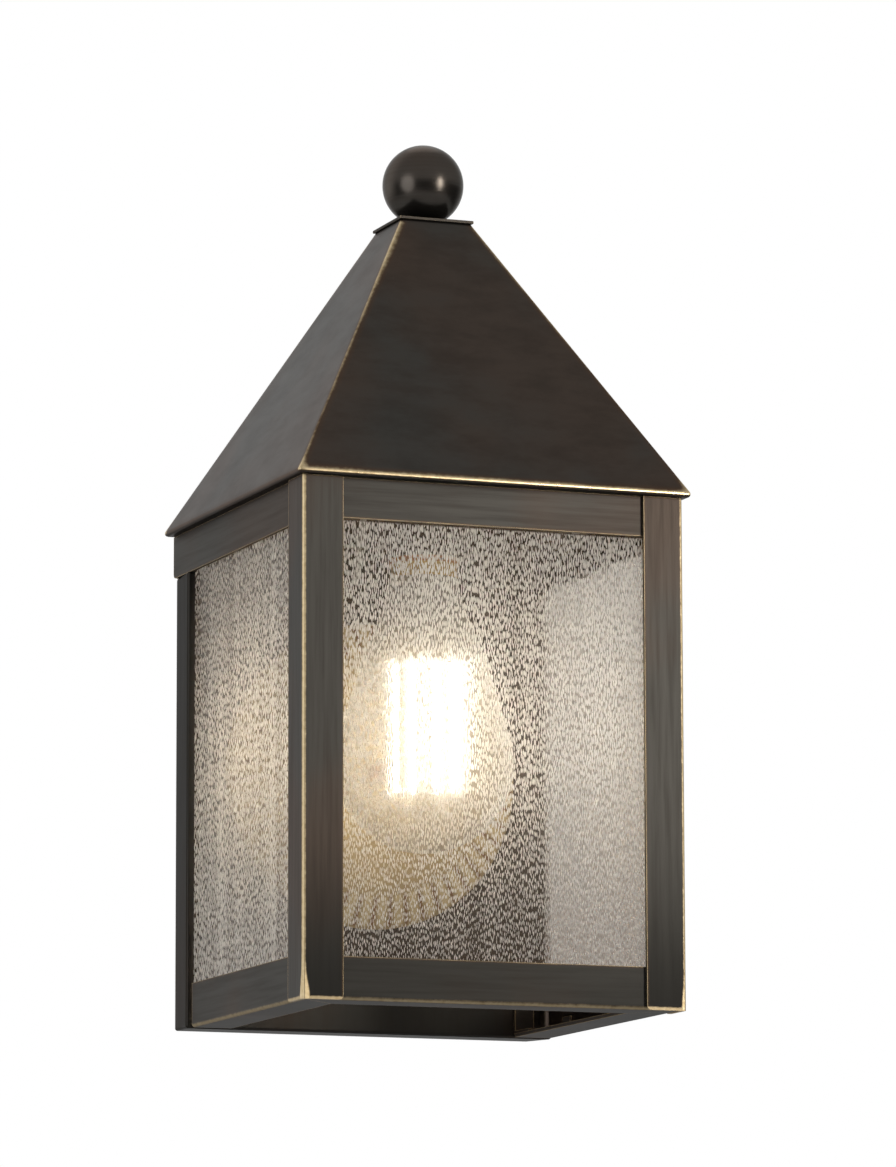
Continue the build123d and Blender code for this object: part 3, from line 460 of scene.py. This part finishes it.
def aged_bronze(
    name,
    grain,
    red,
    shade=1.0,
    edges=1.0,
    wear=None,
    painted=False,
    foot=0.0,
    rough=0.38,
    tint=0.55,
    relief=brushed_relief,
):
    """Patina brushed along a grain, redder or darker, rubbed to brass at the edges."""
    material, nodes = new_material(name)
    speck = cloud(nodes, (500, 500, 500), 3.0, 0.6)
    brushed = cloud(nodes, grain, 4.0, 0.65)
    worn, halo = rubbed_shares(nodes, speck, edges, wear, painted)
    colour = blend(nodes, 0.6 * halo, patina(nodes, brushed, red, shade, foot), thin_patina)
    brass = blend(nodes, speck, deep_brass, pale_brass)
    principled(
        nodes,
        base_color=blend(nodes, 0.92 * worn, colour, brass),
        metallic=0.94,
        roughness=rough + 0.10 * (brushed - 0.5) - 0.05 * worn,
        specular_tint=(tint, tint, tint, 1),
        normal=bump(nodes, brushed, *relief),
    )
    return material


print("Aged bronze ready")

# %% [markdown]
# Each kind of sheet gets its own bronze. The posts are brushed upright and the rails along their length, the
# roof's wear comes with its mesh, and the ball shows the fine level rings of a lathe.

# %% The lantern's bronzes
# The foot value is the strength of the painted shade towards the foot.
post_look = {"rough": 0.5, "edges": 0.75, "wear": post_wear, "foot": 0.9, "tint": 0.72}
upright_bronze = aged_bronze("upright_bronze", (480, 480, 20), 0.03, **post_look)
rail_look = {"rough": 0.5, "edges": 0.7, "wear": rail_wear, "foot": 0.55, "tint": 0.64}
level_bronze = aged_bronze("level_bronze", (22, 22, 480), -0.02, **rail_look)
# The back pan is drawn darker, partly as a painted shade for the dim inside of the lantern.
pan_bronze = aged_bronze("pan_bronze", (300, 300, 30), -0.05, shade=0.5, edges=0.15, tint=0.4)
roof_bronze = aged_bronze("roof_bronze", (45, 45, 120), 0.03, edges=0.0, painted=True, rough=0.33)
plate_bronze = aged_bronze("plate_bronze", (60, 60, 400), -0.05, shade=0.8, edges=0.3)
lathe_relief = (0.00006, 0.8)
ball_look = {"shade": 1.2, "edges": 0.0, "rough": 0.25, "relief": lathe_relief}
ball_bronze = aged_bronze("ball_bronze", (12, 12, 1300), 0.0, **ball_look)
print("Aged bronze for posts, pan, rails, roof, cap and ball")

# %% [markdown]
# The frame is plain work in folded sheet: posts of angle, rails with an inward flange, a pressed back pan
# and a cap plate. The CAD made these to their last bend, so they only need their bronze.

# %% Bronze on the frame
def finish_nodes(material, *names):
    """Puts one material on CAD nodes."""
    for name in names:
        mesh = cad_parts[name].data
        mesh.materials.clear()
        mesh.materials.append(material)
    print(material.name, "on", ", ".join(names))


finish_nodes(upright_bronze, "front_left_post", "front_right_post")
finish_nodes(pan_bronze, "back_pan")
finish_nodes(plate_bronze, "roof_cap_plate")
finish_nodes(
    level_bronze,
    "front_top_rail",
    "left_top_rail",
    "right_top_rail",
    "rear_top_rail",
    "front_bottom_rail",
    "left_bottom_rail",
    "right_bottom_rail",
    "rail_brackets",
    "front_glass_clips",
    "left_glass_clips",
    "right_glass_clips",
)

# %% [markdown]
# Most pieces of a lamp are turned, so one helper spins an outline of radius and height about an upright
# line. It needs a ring of points and a skin of faces over a stack of rings. A ring of one point closes
# an end.

# %% Rings and their skin
lamp_axis = Vector((0, -78.3, 0)) * MM


def ring_of(made, height, reaches):
    """A ring of vertices about the lamp's line at a height, from its radius at each of its angles."""
    ring = []
    for index, reach in enumerate(reaches):
        angle = 2 * math.pi * index / len(reaches)
        spot = Vector((reach * math.cos(angle), reach * math.sin(angle), height))
        ring.append(made.verts.new(lamp_axis + spot * MM))
    return ring


def skin(made, rings):
    """Faces between neighbouring rings, all turned outward."""
    for low, high in zip(rings, rings[1:]):
        for index in range(max(len(low), len(high))):
            after = index + 1
            corners = [low[index % len(low)], low[after % len(low)]]
            corners += [high[after % len(high)], high[index % len(high)]]
            distinct = list(dict.fromkeys(corners))
            if len(distinct) > 2:
                made.faces.new(distinct)
    bmesh.ops.recalc_face_normals(made, faces=made.faces)


print("Lamp's line at", round(lamp_axis.y / MM, 1), "millimetres from the wall")

# %% [markdown]
# A piece is finished when its mesh is smooth except at its real edges, when it rides on a body of the
# lantern, and when it stands for the CAD node that it replaces.

# %% Finished pieces
def finished_mesh(name, made, sharp):
    """A mesh from a bmesh, smooth except at edges sharper than an angle in degrees."""
    for face in made.faces:
        face.smooth = True
    for edge in made.edges:
        if len(edge.link_faces) == 2 and edge.calc_face_angle(0) > math.radians(sharp):
            edge.smooth = False
    mesh = bpy.data.meshes.new(name)
    made.to_mesh(mesh)
    made.free()
    return mesh


def turned_mesh(name, outline, segments):
    """Spins (radius, height) points in millimetres about the lamp's line."""
    made = bmesh.new()
    rings = []
    for radius, height in outline:
        rings.append(ring_of(made, height, [radius] * (segments if radius else 1)))
    skin(made, rings)
    return finished_mesh(name, made, 40)


def new_piece(name, mesh, material, body, node):
    """A finished mesh as a piece of the lantern, in place of a CAD node."""
    piece = bpy.data.objects.new(name, mesh)
    bpy.context.scene.collection.objects.link(piece)
    mesh.materials.append(material)
    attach(piece, body)
    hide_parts(node)
    print(name, "has", len(mesh.polygons), "faces")


print("Finishing helpers ready")

# %% [markdown]
# The finial is a turned ball that screws on the lamp pipe and so holds the roof down. It is bored from below
# and has a seat for the sealing ring. A lathe makes it, so its patina shows fine level rings.

# %% Ball finial
bore_radius = 4.9
bore_depth = 9.0
seat_radius = 6.05
seat_depth = 1.0
ball_steps = 40
ball_low, ball_high = (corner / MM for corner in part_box("finial_ball"))
ball_radius = (ball_high.x - ball_low.x) / 2
ball_centre = ball_high.z - ball_radius
flat_turn = math.acos((ball_centre - ball_low.z) / ball_radius)
outline = [(0, ball_low.z + bore_depth), (bore_radius, ball_low.z + bore_depth)]
outline += [(bore_radius, ball_low.z + seat_depth), (seat_radius, ball_low.z + seat_depth)]
outline.append((seat_radius, ball_low.z))
for step in range(ball_steps + 1):
    turn = flat_turn + (math.pi - flat_turn) * step / ball_steps
    outline.append((ball_radius * math.sin(turn), ball_centre - ball_radius * math.cos(turn)))
outline[-1] = (0, ball_high.z)
ball_mesh = turned_mesh("ball", outline, 80)
new_piece("turned_ball", ball_mesh, ball_bronze, "finial", "finial_ball")

# %% [markdown]
# The roof is one folded sheet: four slopes that meet in soft hips, and an eave turned under into a thick
# round lip. It is built as a stack of level loops, each a rectangle with rounded corners. Every point also
# gets a number that tells how much a hand has rubbed it.

# %% Loops round the roof
peak_half = 14.3
hip_margin = 2.6
side_shares = (1.0, 0.6, 0.4, 0.45)
middle = lamp_axis.y / MM
roof_low, roof_high = (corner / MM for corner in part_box("roof_shell"))
eave = (roof_high.x, roof_low.y, roof_high.y)
peak = (peak_half, middle - peak_half, middle + peak_half)
lip_depth = 1.8
lip_top = roof_low.z + lip_depth


def rounded_loop(half, front, rear, level, corner, rub, flat_rub):
    """Points and their wear round a rectangle whose corners are rounded."""
    centres = [
        (-half + corner, front + corner, 180),
        (half - corner, front + corner, 270),
        (half - corner, rear - corner, 0),
        (-half + corner, rear - corner, 90),
    ]
    points = []
    for index, (x, y, start) in enumerate(centres):
        for step in range(5):
            angle = math.radians(start + 22.5 * step)
            spot = Vector((x + corner * math.cos(angle), y + corner * math.sin(angle), level))
            points.append((spot, rub if 0 < step < 4 else 0.82 * rub + 0.18 * flat_rub))
        x_next, y_next, _ = centres[(index + 1) % 4]
        leave = points[-1][0]
        arrive = Vector((x_next + corner * math.cos(angle), y_next + corner * math.sin(angle), level))
        along = (arrive - leave).normalized()
        length = (arrive - leave).length
        for distance, beside in ((hip_margin, 0.3), (length / 2, 0.0), (length - hip_margin, 0.3)):
            points.append((leave + along * distance, max(flat_rub * side_shares[index], beside * rub)))
    return points


def slope_loop(share, inset, corner, rub, flat_rub, drop):
    """A loop on the slopes, from the eave at share 0 to the top at share 1, drawn in and lowered."""
    half, front, rear = (low + share * (high - low) for low, high in zip(eave, peak))
    level = lip_top + share * (roof_high.z - lip_top) - drop
    return rounded_loop(half - inset, front + inset, rear - inset, level, corner, rub, flat_rub)


print("Roof is", round(roof_high.z - roof_low.z, 1), "millimetres high")

# %% [markdown]
# The loops follow the sheet's own profile: from the flat top down the slopes, round the lip, inward along
# the hem, and up again on the inside to the pipe's hole. The wear is highest on the hips and on the lip.

# %% Profile of the roof
pipe_hole = 5.2
roof_sheet = 1.2
lip_round = 1.15
hip_corner = 0.8
hem_corner = 0.5
hem_width = 7.0
hem_sheet = 0.6
wall_inset = 1.4
rows = [(1.0, 0.0, 0.7, 0.4, 0.2, 0.0)]
for share in (0.985, 0.9, 0.75, 0.5, 0.3, 0.15):
    rows.append((share, 0.0, 0.75, 0.56 + 0.38 * share, 0.0, 0.0))
rows += [(0.06, 0.0, hip_corner, 0.7, 0.0, 0.0), (0.022, 0.0, hip_corner, 0.95, 0.05, 0.0)]
rows += [(0.004, 0.0, hip_corner, 1.1, 0.7, 0.0), (0.0, 0.04, hip_corner, 1.2, 1.05, 0.1)]
for step in range(7):
    turn = math.radians(15 * step)
    inset = lip_round * (1 - math.cos(turn))
    drop = lip_depth - lip_round * (1 - math.sin(turn))
    rub = max(1.0 - 0.34 * step, 0.0)
    rows.append((0.0, inset, hip_corner, rub, rub, drop))
hem = ((hem_width, lip_depth), (hem_width, hem_sheet), (wall_inset, hem_sheet), (wall_inset, 0.0))
for inset, drop in hem:
    rows.append((0.0, inset, hem_corner, 0.0, 0.0, drop))
rows.append((0.989, wall_inset, hem_corner, 0.0, 0.0, 0.0))
loops = [slope_loop(*row) for row in rows]
for level in (roof_high.z - roof_sheet, roof_high.z):
    hole = []
    for spot, _ in loops[0]:
        away = Vector((spot.x, spot.y - middle)).normalized() * pipe_hole
        hole.append((Vector((away.x, away.y + middle, level)), 0.0))
    loops.append(hole)
print("Roof profile has", len(loops), "loops")

# %% [markdown]
# The loops become one mesh, closed from the last loop back to the first, so that the sheet has an outside
# and an inside. The wear goes along as a number on each vertex, named worn, which the bronze reads.

# %% Folded roof
made = bmesh.new()
wear_layer = made.verts.layers.float.new("worn")
rings = []
for loop in loops:
    ring = []
    for spot, rub in loop:
        vert = made.verts.new(spot * MM)
        vert[wear_layer] = rub
        ring.append(vert)
    rings.append(ring)
skin(made, rings + rings[:1])
roof_mesh = finished_mesh("roof", made, 50)
new_piece("folded_roof", roof_mesh, roof_bronze, "lantern", "roof_shell")

# %% [markdown]
# Clear glass lets light through and mirrors a little, more at a slant. A window shader with a mirror on it
# shows this without bending the light, which a flat pane hardly does, and it needs few samples.

# %% Clear glass
glass_tint = (0.95, 0.94, 0.92)
glass_gloss = 0.06


def clear_glass(nodes, tint, straight, power):
    """Glass as a tinted window with a mirror on it, stronger at a slant."""
    window = shader(nodes, "BsdfTransparent", tint)
    mirror = shader(nodes, "BsdfGlossy", (1, 1, 1), Roughness=glass_gloss)
    share = straight + (1.0 - straight) * slant_of(nodes) ** power
    return layered(nodes, share, window, mirror)


pane_clear, nodes = new_material("pane_clear")
put_on(nodes, clear_glass(nodes, glass_tint, 0.0, 5.0))
print("Clear glass ready")

# %% [markdown]
# Seeded glass is rolled full of small drawn-out bubbles, the seeds. They lie upright, a little crooked, and
# each scatters light, so a pane glows pale in front of a dark ground. Real bubbles would need millions
# of faces. Here tall Voronoi cells stand for them: what lies within reach of its cell's middle is
# milky. The reach grows with height, so that the seeds run together near the top of a pane.

# %% Seeds
seeds_low = -0.0846
seeds_high = 0.0780
seeds_fade = 0.0010
seeded, nodes = new_material("seeded_glass")
side = part_of(nodes, place(nodes), "X")
depth = part_of(nodes, place(nodes), "Y")
height = part_of(nodes, place(nodes), "Z")
wobble = cloud(nodes, (1500, 1300, 420), 1.0) - 0.5
drift = cloud(nodes, (160, 160, 7), 1.0) - 0.5
level_way = 2200.0 * side + 1200.0 * depth + 0.6 * wobble
cells = nodes.add("ShaderNodeCombineXYZ", {}, {0: level_way, 1: 420.0 * height})
sockets = {"Vector": cells, "Scale": 1.0, "Randomness": 1.0}
from_middle = nodes.add("ShaderNodeTexVoronoi", {"voronoi_dimensions": "2D"}, sockets, "Distance")
on_right = ease(nodes, side, 0.064, 0.068)
on_left = ease(nodes, side, -0.064, -0.068)
low = 1.0 - ease(nodes, height, -0.10, 0.01)
front_reach = 0.27 + 0.19 * ease(nodes, height, -0.085, 0.01) + 0.05 * low * ease(nodes, side, 0.02, 0.045)
left_reach = 0.43 - 0.07 * ease(nodes, height, -0.01, 0.07)
reach = front_reach + on_left * (left_reach - front_reach)
reach = reach + (0.2 + 0.2 * on_left) * drift + 0.2 * wobble
below_top = 1.0 - ease(nodes, height, seeds_high - seeds_fade, seeds_high)
above_foot = ease(nodes, height, seeds_low, seeds_low + seeds_fade)
seed_share = above_foot * below_top * ease(nodes, reach - from_middle, -0.06, 0.06)
print("Seeds between", seeds_low, "and", seeds_high, "metres")

# %% [markdown]
# A seed scatters light forward and back, like a drop of milk, and blurs what is behind it. Between the seeds
# the glass is clear, with a thin film that catches the bulb's warm light. At a slant the seeds and the clear
# glass are drawn darker, and on the right pane, most at its foot, that darkening is painted shade.

# %% Seeded glass
aslant = ease(nodes, slant_of(nodes), 0.2, 0.75)
milk = shader(nodes, "BsdfDiffuse", (0.88, 0.86, 0.83))
glow = shader(nodes, "BsdfTranslucent", (0.95, 0.93, 0.90))
dim = shader(nodes, "BsdfTranslucent", (0.45, 0.43, 0.41))
lens_like = shader(nodes, "BsdfRefraction", (1, 1, 1), Roughness=0.45, IOR=1.25)
milky = layered(nodes, 0.3, layered(nodes, 0.72, milk, glow), lens_like)
# Painted shade: the seeds are drawn dimmer on the right pane, as they are at a slant.
milky = layered(nodes, (0.3 + 0.6 * on_right) * aslant, milky, dim)
dusky = shader(nodes, "BsdfTransparent", (0.13, 0.12, 0.11))
film = shader(nodes, "BsdfTranslucent", (0.90, 0.68, 0.58))
# Painted shade: the clear glass is drawn darker on the right pane, and most at its foot.
dusk = aslant * (0.60 + 0.18 * on_right + 0.22 * on_right * low)
clear = layered(nodes, dusk, clear_glass(nodes, glass_tint, 0.0, 5.0), dusky)
clear = layered(nodes, 0.12, clear, film)
put_on(nodes, layered(nodes, seed_share, clear, milky))
print("Glass materials:", pane_clear.name, "and", seeded.name)

# %% [markdown]
# A pane is a cut slab with ground edges, held in the frame's channels. Only its outer face carries the
# seeds, so that a ray meets them once, and the inner face and the edges are clear.

# %% Panes
ground_edge = 0.0004


def pane(name, node, outward):
    """A slab in the box of a CAD pane, seeded on the face that looks outward."""
    low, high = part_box(node)
    slab = Matrix.Translation((low + high) / 2) @ Matrix.Diagonal((high - low).to_4d())
    made = bmesh.new()
    bmesh.ops.create_cube(made, size=1.0, matrix=slab)
    bmesh.ops.bevel(made, geom=made.edges[:], offset=ground_edge, segments=1, affect="EDGES")
    made.normal_update()
    for face in made.faces:
        face.material_index = int(face.normal.dot(Vector(outward)) > 0.9)
    mesh = finished_mesh(name, made, 20)
    new_piece(name, mesh, pane_clear, "lantern", node)
    mesh.materials.append(seeded)


pane("seeded_front_pane", "front_glass", (0, -1, 0))
pane("seeded_left_pane", "left_glass", (-1, 0, 0))
pane("seeded_right_pane", "right_glass", (1, 0, 0))

# %% [markdown]
# The bulb's envelope is blown: a ball that flows into a neck. Its outline is an arc and a smooth
# curve, spun once. The wall is a few tenths of a millimetre, so one skin is enough.

# %% Bulb envelope
glass_low, glass_high = (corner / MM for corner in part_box("bulb_glass"))
globe_radius = (glass_high.x - glass_low.x) / 2
globe_centre = glass_low.z + globe_radius
globe_steps = 36
join = math.radians(16)
join_way = (-math.sin(join), math.cos(join))
shoulder = (20.8, globe_centre + 47.4)
shoulder_way = (-0.38, 0.925)
neck = (13.2, globe_centre + 71.4)
neck_way = (-0.12, 1.0)


def flow(start, start_way, end, end_way, steps):
    """Points of a smooth curve between two points that leaves and arrives along two directions."""
    span = math.dist(start, end)
    points = []
    for index in range(1, steps + 1):
        t = index / steps
        weights = (2 * t**3 - 3 * t**2 + 1, t**3 - 2 * t**2 + t, 3 * t**2 - 2 * t**3, t**3 - t**2)
        knots = (start, [span * part for part in start_way], end, [span * part for part in end_way])
        points.append(tuple(sum(w * k[axis] for w, k in zip(weights, knots)) for axis in (0, 1)))
    return points


outline = [(0, glass_low.z)]
for step in range(1, globe_steps + 1):
    turn = -math.pi / 2 + (math.pi / 2 + join) * step / globe_steps
    outline.append((globe_radius * math.cos(turn), globe_centre + globe_radius * math.sin(turn)))
outline += flow(outline[-1], join_way, shoulder, shoulder_way, 16)
outline += flow(shoulder, shoulder_way, neck, neck_way, 12)
envelope_mesh = turned_mesh("envelope", outline, 96)
print("Envelope has", len(envelope_mesh.polygons), "faces")

# %% [markdown]
# The bulb's glass is clear, with a faint mirror and a haze at its rim. A little blur melts the filaments
# behind it into one glow, as a bright bulb does in a camera.

# %% Bulb glass
bulb_clear, nodes = new_material("bulb_clear")
clear = clear_glass(nodes, (0.97, 0.97, 0.96), 0.08, 3.0)
haze = shader(nodes, "BsdfTranslucent", (1.0, 0.97, 0.92))
blur = shader(nodes, "BsdfRefraction", (1, 1, 1), Roughness=0.5, IOR=1.2)
surface = layered(nodes, 0.05 + 0.2 * slant_of(nodes) ** 6.0, clear, haze)
put_on(nodes, layered(nodes, 0.3, surface, blur))
new_piece("blown_envelope", envelope_mesh, bulb_clear, "bulb", "bulb_glass")
finish_nodes(bulb_clear, "bulb_stem")

# %% [markdown]
# The bulb's base and the shell it screws into are rolled from thin sheet, so their thread is a soft wave.
# Here the radius of each ring follows a cosine of height and angle together, which gives one
# continuous right-handed thread, and the two pieces share its pitch.

# %% Meshes of the screw base and the screw shell
thread_pitch = 3.629
base_bore = 11.85
base_crest = 13.05
shell_bore = 13.4
shell_rim = 13.85


def threaded_mesh(name, outline, segments):
    """Spins (radius, wave, height) points, each wave a rolled thread round the radius, closed on itself."""
    made = bmesh.new()
    rings = []
    for radius, wave, height in outline:
        wound = 2 * math.pi * height / thread_pitch
        angles = [2 * math.pi * index / segments for index in range(segments)]
        rings.append(ring_of(made, height, [radius + wave * math.cos(wound - angle) for angle in angles]))
    skin(made, rings + rings[:1])
    return finished_mesh(name, made, 50)


def thread_rows(radius, wave, start, end, steps):
    """Rows of a thread whose wave grows and dies over the first and last tenth."""
    rows = []
    for index in range(steps + 1):
        share = index / steps
        swell = min(1.0, 10 * share, 10 * (1 - share))
        rows.append((radius, wave * swell, start + (end - start) * share))
    return rows


base_low, base_high = ((corner / MM).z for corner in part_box("bulb_screw_base"))
outline = [(base_bore, 0, base_low), (base_crest, 0, base_low), (base_crest, 0, base_low + 1.4)]
outline += thread_rows(12.7, 0.35, base_low + 1.9, base_high - 4.0, 50)
outline += [(12.35, 0, base_high - 2.7), (9.6, 0, base_high), (9.1, 0, base_high)]
outline.append((base_bore, 0, base_high - 3.0))
base_mesh = threaded_mesh("screw_base", outline, 72)

shell_low, shell_high = ((corner / MM).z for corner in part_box("socket_screw_shell"))
thread_low = shell_low + 0.6
thread_high = shell_high - 0.4
outline = [(shell_bore, 0, shell_low), (shell_rim, 0, shell_low)]
outline += thread_rows(13.7, 0.15, thread_low, thread_high, 60)
outline += [(shell_rim, 0, shell_high), (shell_bore, 0, shell_high)]
outline += thread_rows(13.35, 0.15, thread_high, thread_low, 60)
shell_mesh = threaded_mesh("screw_shell", outline, 72)
print("Thread of pitch", thread_pitch, "on", base_mesh.name, "and", shell_mesh.name)

# %% [markdown]
# The filaments are thin rods coated with phosphor, which glow over their whole length, as in a filament bulb
# of today. Their material is light alone. It is weaker in a mirror, because the bronze would
# otherwise show sparks that a soft patina doesn't show.

# %% Filaments
lit, nodes = new_material("lit_filament")
direct = shader(nodes, "Emission", (1.0, 0.915, 0.76), Strength=46.0)
in_mirror = shader(nodes, "Emission", (1.0, 0.90, 0.74), Strength=9.0)
put_on(nodes, layered(nodes, seen_ray(nodes, "Is Glossy Ray"), direct, in_mirror))
finish_nodes(lit, "bulb_filaments")

# %% [markdown]
# The reflector is a spun dish of lacquered brass with fifty flutes pressed round its rim, so that the bulb's
# light is broken up and thrown forward. It is a grid of rings and spokes whose depth comes from one formula.

# %% Fluted reflector
dish_low, dish_high = (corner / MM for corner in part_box("reflector_dish"))
rim_radius = (dish_high.x - dish_low.x) / 2
dish_face = dish_high.y
shoulder_radius = 46.0
shoulder_height = 6.8
crown_height = 3.0
screw_hole = 2.1
flute_count = 50
flute_height = 0.9
spokes = flute_count * 12
crown_rings = 16
rim_rings = 28


def dish_form(radius, angle):
    """Distance in front of the pan in millimetres, and 1 on a flute's ridge, 0 in its groove."""
    if radius < shoulder_radius:
        height = shoulder_height + crown_height * (1 - (radius / shoulder_radius) ** 2)
    else:
        height = shoulder_height * (rim_radius - radius) / (rim_radius - shoulder_radius)
    inner = min(max((radius - shoulder_radius) / 3.0, 0), 1)
    outer = min(max((rim_radius - radius) / 1.6, 0), 1)
    swell = inner * inner * (3 - 2 * inner) * outer
    ridge = abs(math.cos(flute_count * angle / 2)) ** 0.8
    return height + flute_height * swell * ridge, 0.5 + swell * (ridge - 0.5)


radii = []
for index in range(crown_rings + 1):
    radii.append(screw_hole + (shoulder_radius - screw_hole) * index / crown_rings)
for index in range(1, rim_rings + 1):
    radii.append(shoulder_radius + (rim_radius - shoulder_radius) * index / rim_rings)
made = bmesh.new()
flute_layer = made.verts.layers.float.new("flute")
rings = []
for radius in radii:
    ring = []
    for spoke in range(spokes):
        angle = 2 * math.pi * spoke / spokes
        depth, flute = dish_form(radius, angle)
        spot = Vector((radius * math.cos(angle), dish_face - depth, radius * math.sin(angle)))
        vert = made.verts.new(spot * MM)
        vert[flute_layer] = flute
        ring.append(vert)
    rings.append(ring)
skin(made, rings)
dish_mesh = finished_mesh("dish", made, 60)
print("Reflector has", flute_count, "flutes")

# %% [markdown]
# The brass is drawn paler on the ridges of the flutes, a painted highlight, and brown in the grooves, a
# painted shade. The mesh tells the material which is which.

# %% Reflector brass
dish_brass, nodes = new_material("dish_brass")
tarnish = cloud(nodes, (30, 30, 30), 4.0, 0.6)
flute = nodes.add("ShaderNodeAttribute", {"attribute_name": "flute"}, {}, "Fac")
colour = blend(nodes, tarnish, (0.35, 0.26, 0.13, 1), (0.46, 0.36, 0.20, 1))
# Painted shade in the grooves of the flutes.
colour = blend(nodes, ease(nodes, flute, 0.5, 0.1), colour, (0.20, 0.085, 0.025, 1))
# Painted highlight on the ridges of the flutes.
colour = blend(nodes, 0.8 * ease(nodes, flute, 0.6, 0.9), colour, (0.74, 0.61, 0.38, 1))
principled(nodes, base_color=colour, metallic=0.6, roughness=0.48 + 0.12 * tarnish)
new_piece("fluted_dish", dish_mesh, dish_brass, "lantern", "reflector_dish")
finish_nodes(dish_brass, "reflector_screw")

# %% [markdown]
# The small parts are bought: brass and zinc hardware, mouldings, rubber and insulated wire. They share one
# finish, whose colour, gloss and height change a little from place to place, as plating and mouldings do.
# On the lamp pipe and the studs the height is a cut thread of the real pitch.

# %% A finish for small parts
def plain_finish(name, tones, lumps, metallic, gloss, depth, thread=None):
    """A finish with a slow change of colour, gloss and height, or with a thread along an axis."""
    material, nodes = new_material(name)
    lump = cloud(nodes, (lumps, lumps, lumps), 3.0, 0.6)
    height = lump
    if thread:
        axis, pitch = thread
        along = part_of(nodes, place(nodes), axis)
        height = along.maths("PINGPONG", along, pitch / 2) * (2 / pitch)
    first, second = tones
    smooth, coarse = gloss
    principled(
        nodes,
        base_color=blend(nodes, lump, (*first, 1), (*second, 1)),
        metallic=metallic,
        roughness=smooth + (coarse - smooth) * lump,
        normal=bump(nodes, height, depth, 0.4),
    )
    return material


print("Finish for small parts ready")

# %% [markdown]
# Brass carries the current and the pipe, zinc-plated steel holds the lantern to the wall, and rubber seals
# it. The pipe and the studs get a variant whose height is their thread.

# %% Metal and rubber
pipe_pitch = 0.000941
stud_pitch = 0.000794
brass_tones = ((0.62, 0.44, 0.19), (0.72, 0.55, 0.27))
copper_tones = ((0.60, 0.30, 0.15), (0.70, 0.40, 0.22))
zinc_tones = ((0.5, 0.5, 0.5), (0.66, 0.66, 0.64))
rubber_tones = ((0.02, 0.02, 0.02), (0.045, 0.045, 0.045))
brass = plain_finish("plain_brass", brass_tones, 300, 1.0, (0.22, 0.4), 0.00003)
copper = plain_finish("copper_alloy", copper_tones, 260, 1.0, (0.22, 0.36), 0.00003)
zinc = plain_finish("zinc_steel", zinc_tones, 350, 1.0, (0.28, 0.45), 0.00003)
rubber = plain_finish("black_rubber", rubber_tones, 900, 0.0, (0.7, 0.9), 0.00008)
pipe_thread = (0.6 * pipe_pitch, ("Z", pipe_pitch))
stud_thread = (0.6 * stud_pitch, ("Y", stud_pitch))
cut_brass = plain_finish("cut_brass", brass_tones, 300, 1.0, (0.22, 0.4), *pipe_thread)
cut_zinc = plain_finish("cut_zinc", zinc_tones, 350, 1.0, (0.28, 0.45), *stud_thread)
new_piece("rolled_screw_base", base_mesh, brass, "bulb", "bulb_screw_base")
new_piece("rolled_screw_shell", shell_mesh, copper, "lantern", "socket_screw_shell")
finish_nodes(brass, "reflector_standoff", "socket_lugs", "socket_centre_contact", "pipe_nuts")
finish_nodes(cut_brass, "lamp_pipe")
finish_nodes(cut_zinc, "mounting_studs")
finish_nodes(zinc, "mounting_crossbar", "stud_lock_nuts", "stud_front_nuts", "block_screws")
finish_nodes(zinc, "socket_strap", "strap_screws", "socket_cap")
finish_nodes(rubber, "wall_gasket", "finial_seal", "pan_grommet", "socket_lead_bushing")
print("Threads of", pipe_pitch / MM, "and", stud_pitch / MM, "millimetres")

# %% [markdown]
# The rest is one part of each kind: the green ground screw, the holder's moulded body, the terminal block,
# the two leads, and the glass, the solder and the wires of the bulb. A table holds them.

# %% One of each kind
green_tones = ((0.03, 0.22, 0.09), (0.06, 0.34, 0.15))
phenolic_tones = ((0.03, 0.022, 0.018), (0.05, 0.036, 0.028))
terminal_tones = ((0.74, 0.73, 0.68), (0.82, 0.81, 0.76))
black_tones = ((0.015, 0.015, 0.015), (0.03, 0.03, 0.03))
white_tones = ((0.34, 0.33, 0.31), (0.44, 0.43, 0.40))
vitrite_tones = ((0.02, 0.02, 0.024), (0.04, 0.04, 0.045))
solder_tones = ((0.5, 0.5, 0.5), (0.64, 0.64, 0.63))
wire_tones = ((0.72, 0.70, 0.66), (0.84, 0.81, 0.76))
small_parts = (
    ("green_steel", green_tones, 300, 0.3, (0.3, 0.5), 0.00003, "ground_screw"),
    ("phenolic", phenolic_tones, 300, 0.0, (0.25, 0.4), 0.00003, "socket_body"),
    ("terminal_plastic", terminal_tones, 500, 0.0, (0.4, 0.55), 0.00003, "terminal_block"),
    ("black_insulation", black_tones, 400, 0.0, (0.35, 0.5), 0.00002, "black_lead"),
    ("white_insulation", white_tones, 400, 0.0, (0.35, 0.5), 0.00002, "white_lead"),
    ("base_glass", vitrite_tones, 300, 0.0, (0.1, 0.2), 0.00002, "bulb_base_insulator"),
    ("solder", solder_tones, 700, 1.0, (0.3, 0.5), 0.00006, "bulb_tip_contact"),
    ("support_wire", wire_tones, 600, 0.3, (0.3, 0.45), 0.00002, "bulb_support_wires"),
)
for name, tones, lumps, metallic, gloss, depth, user in small_parts:
    finish_nodes(plain_finish(name, tones, lumps, metallic, gloss, depth), user)

# %% [markdown]
# Last, the picture's values are shown as they are.

# %% View
bpy.context.scene.view_settings.view_transform = "Standard"
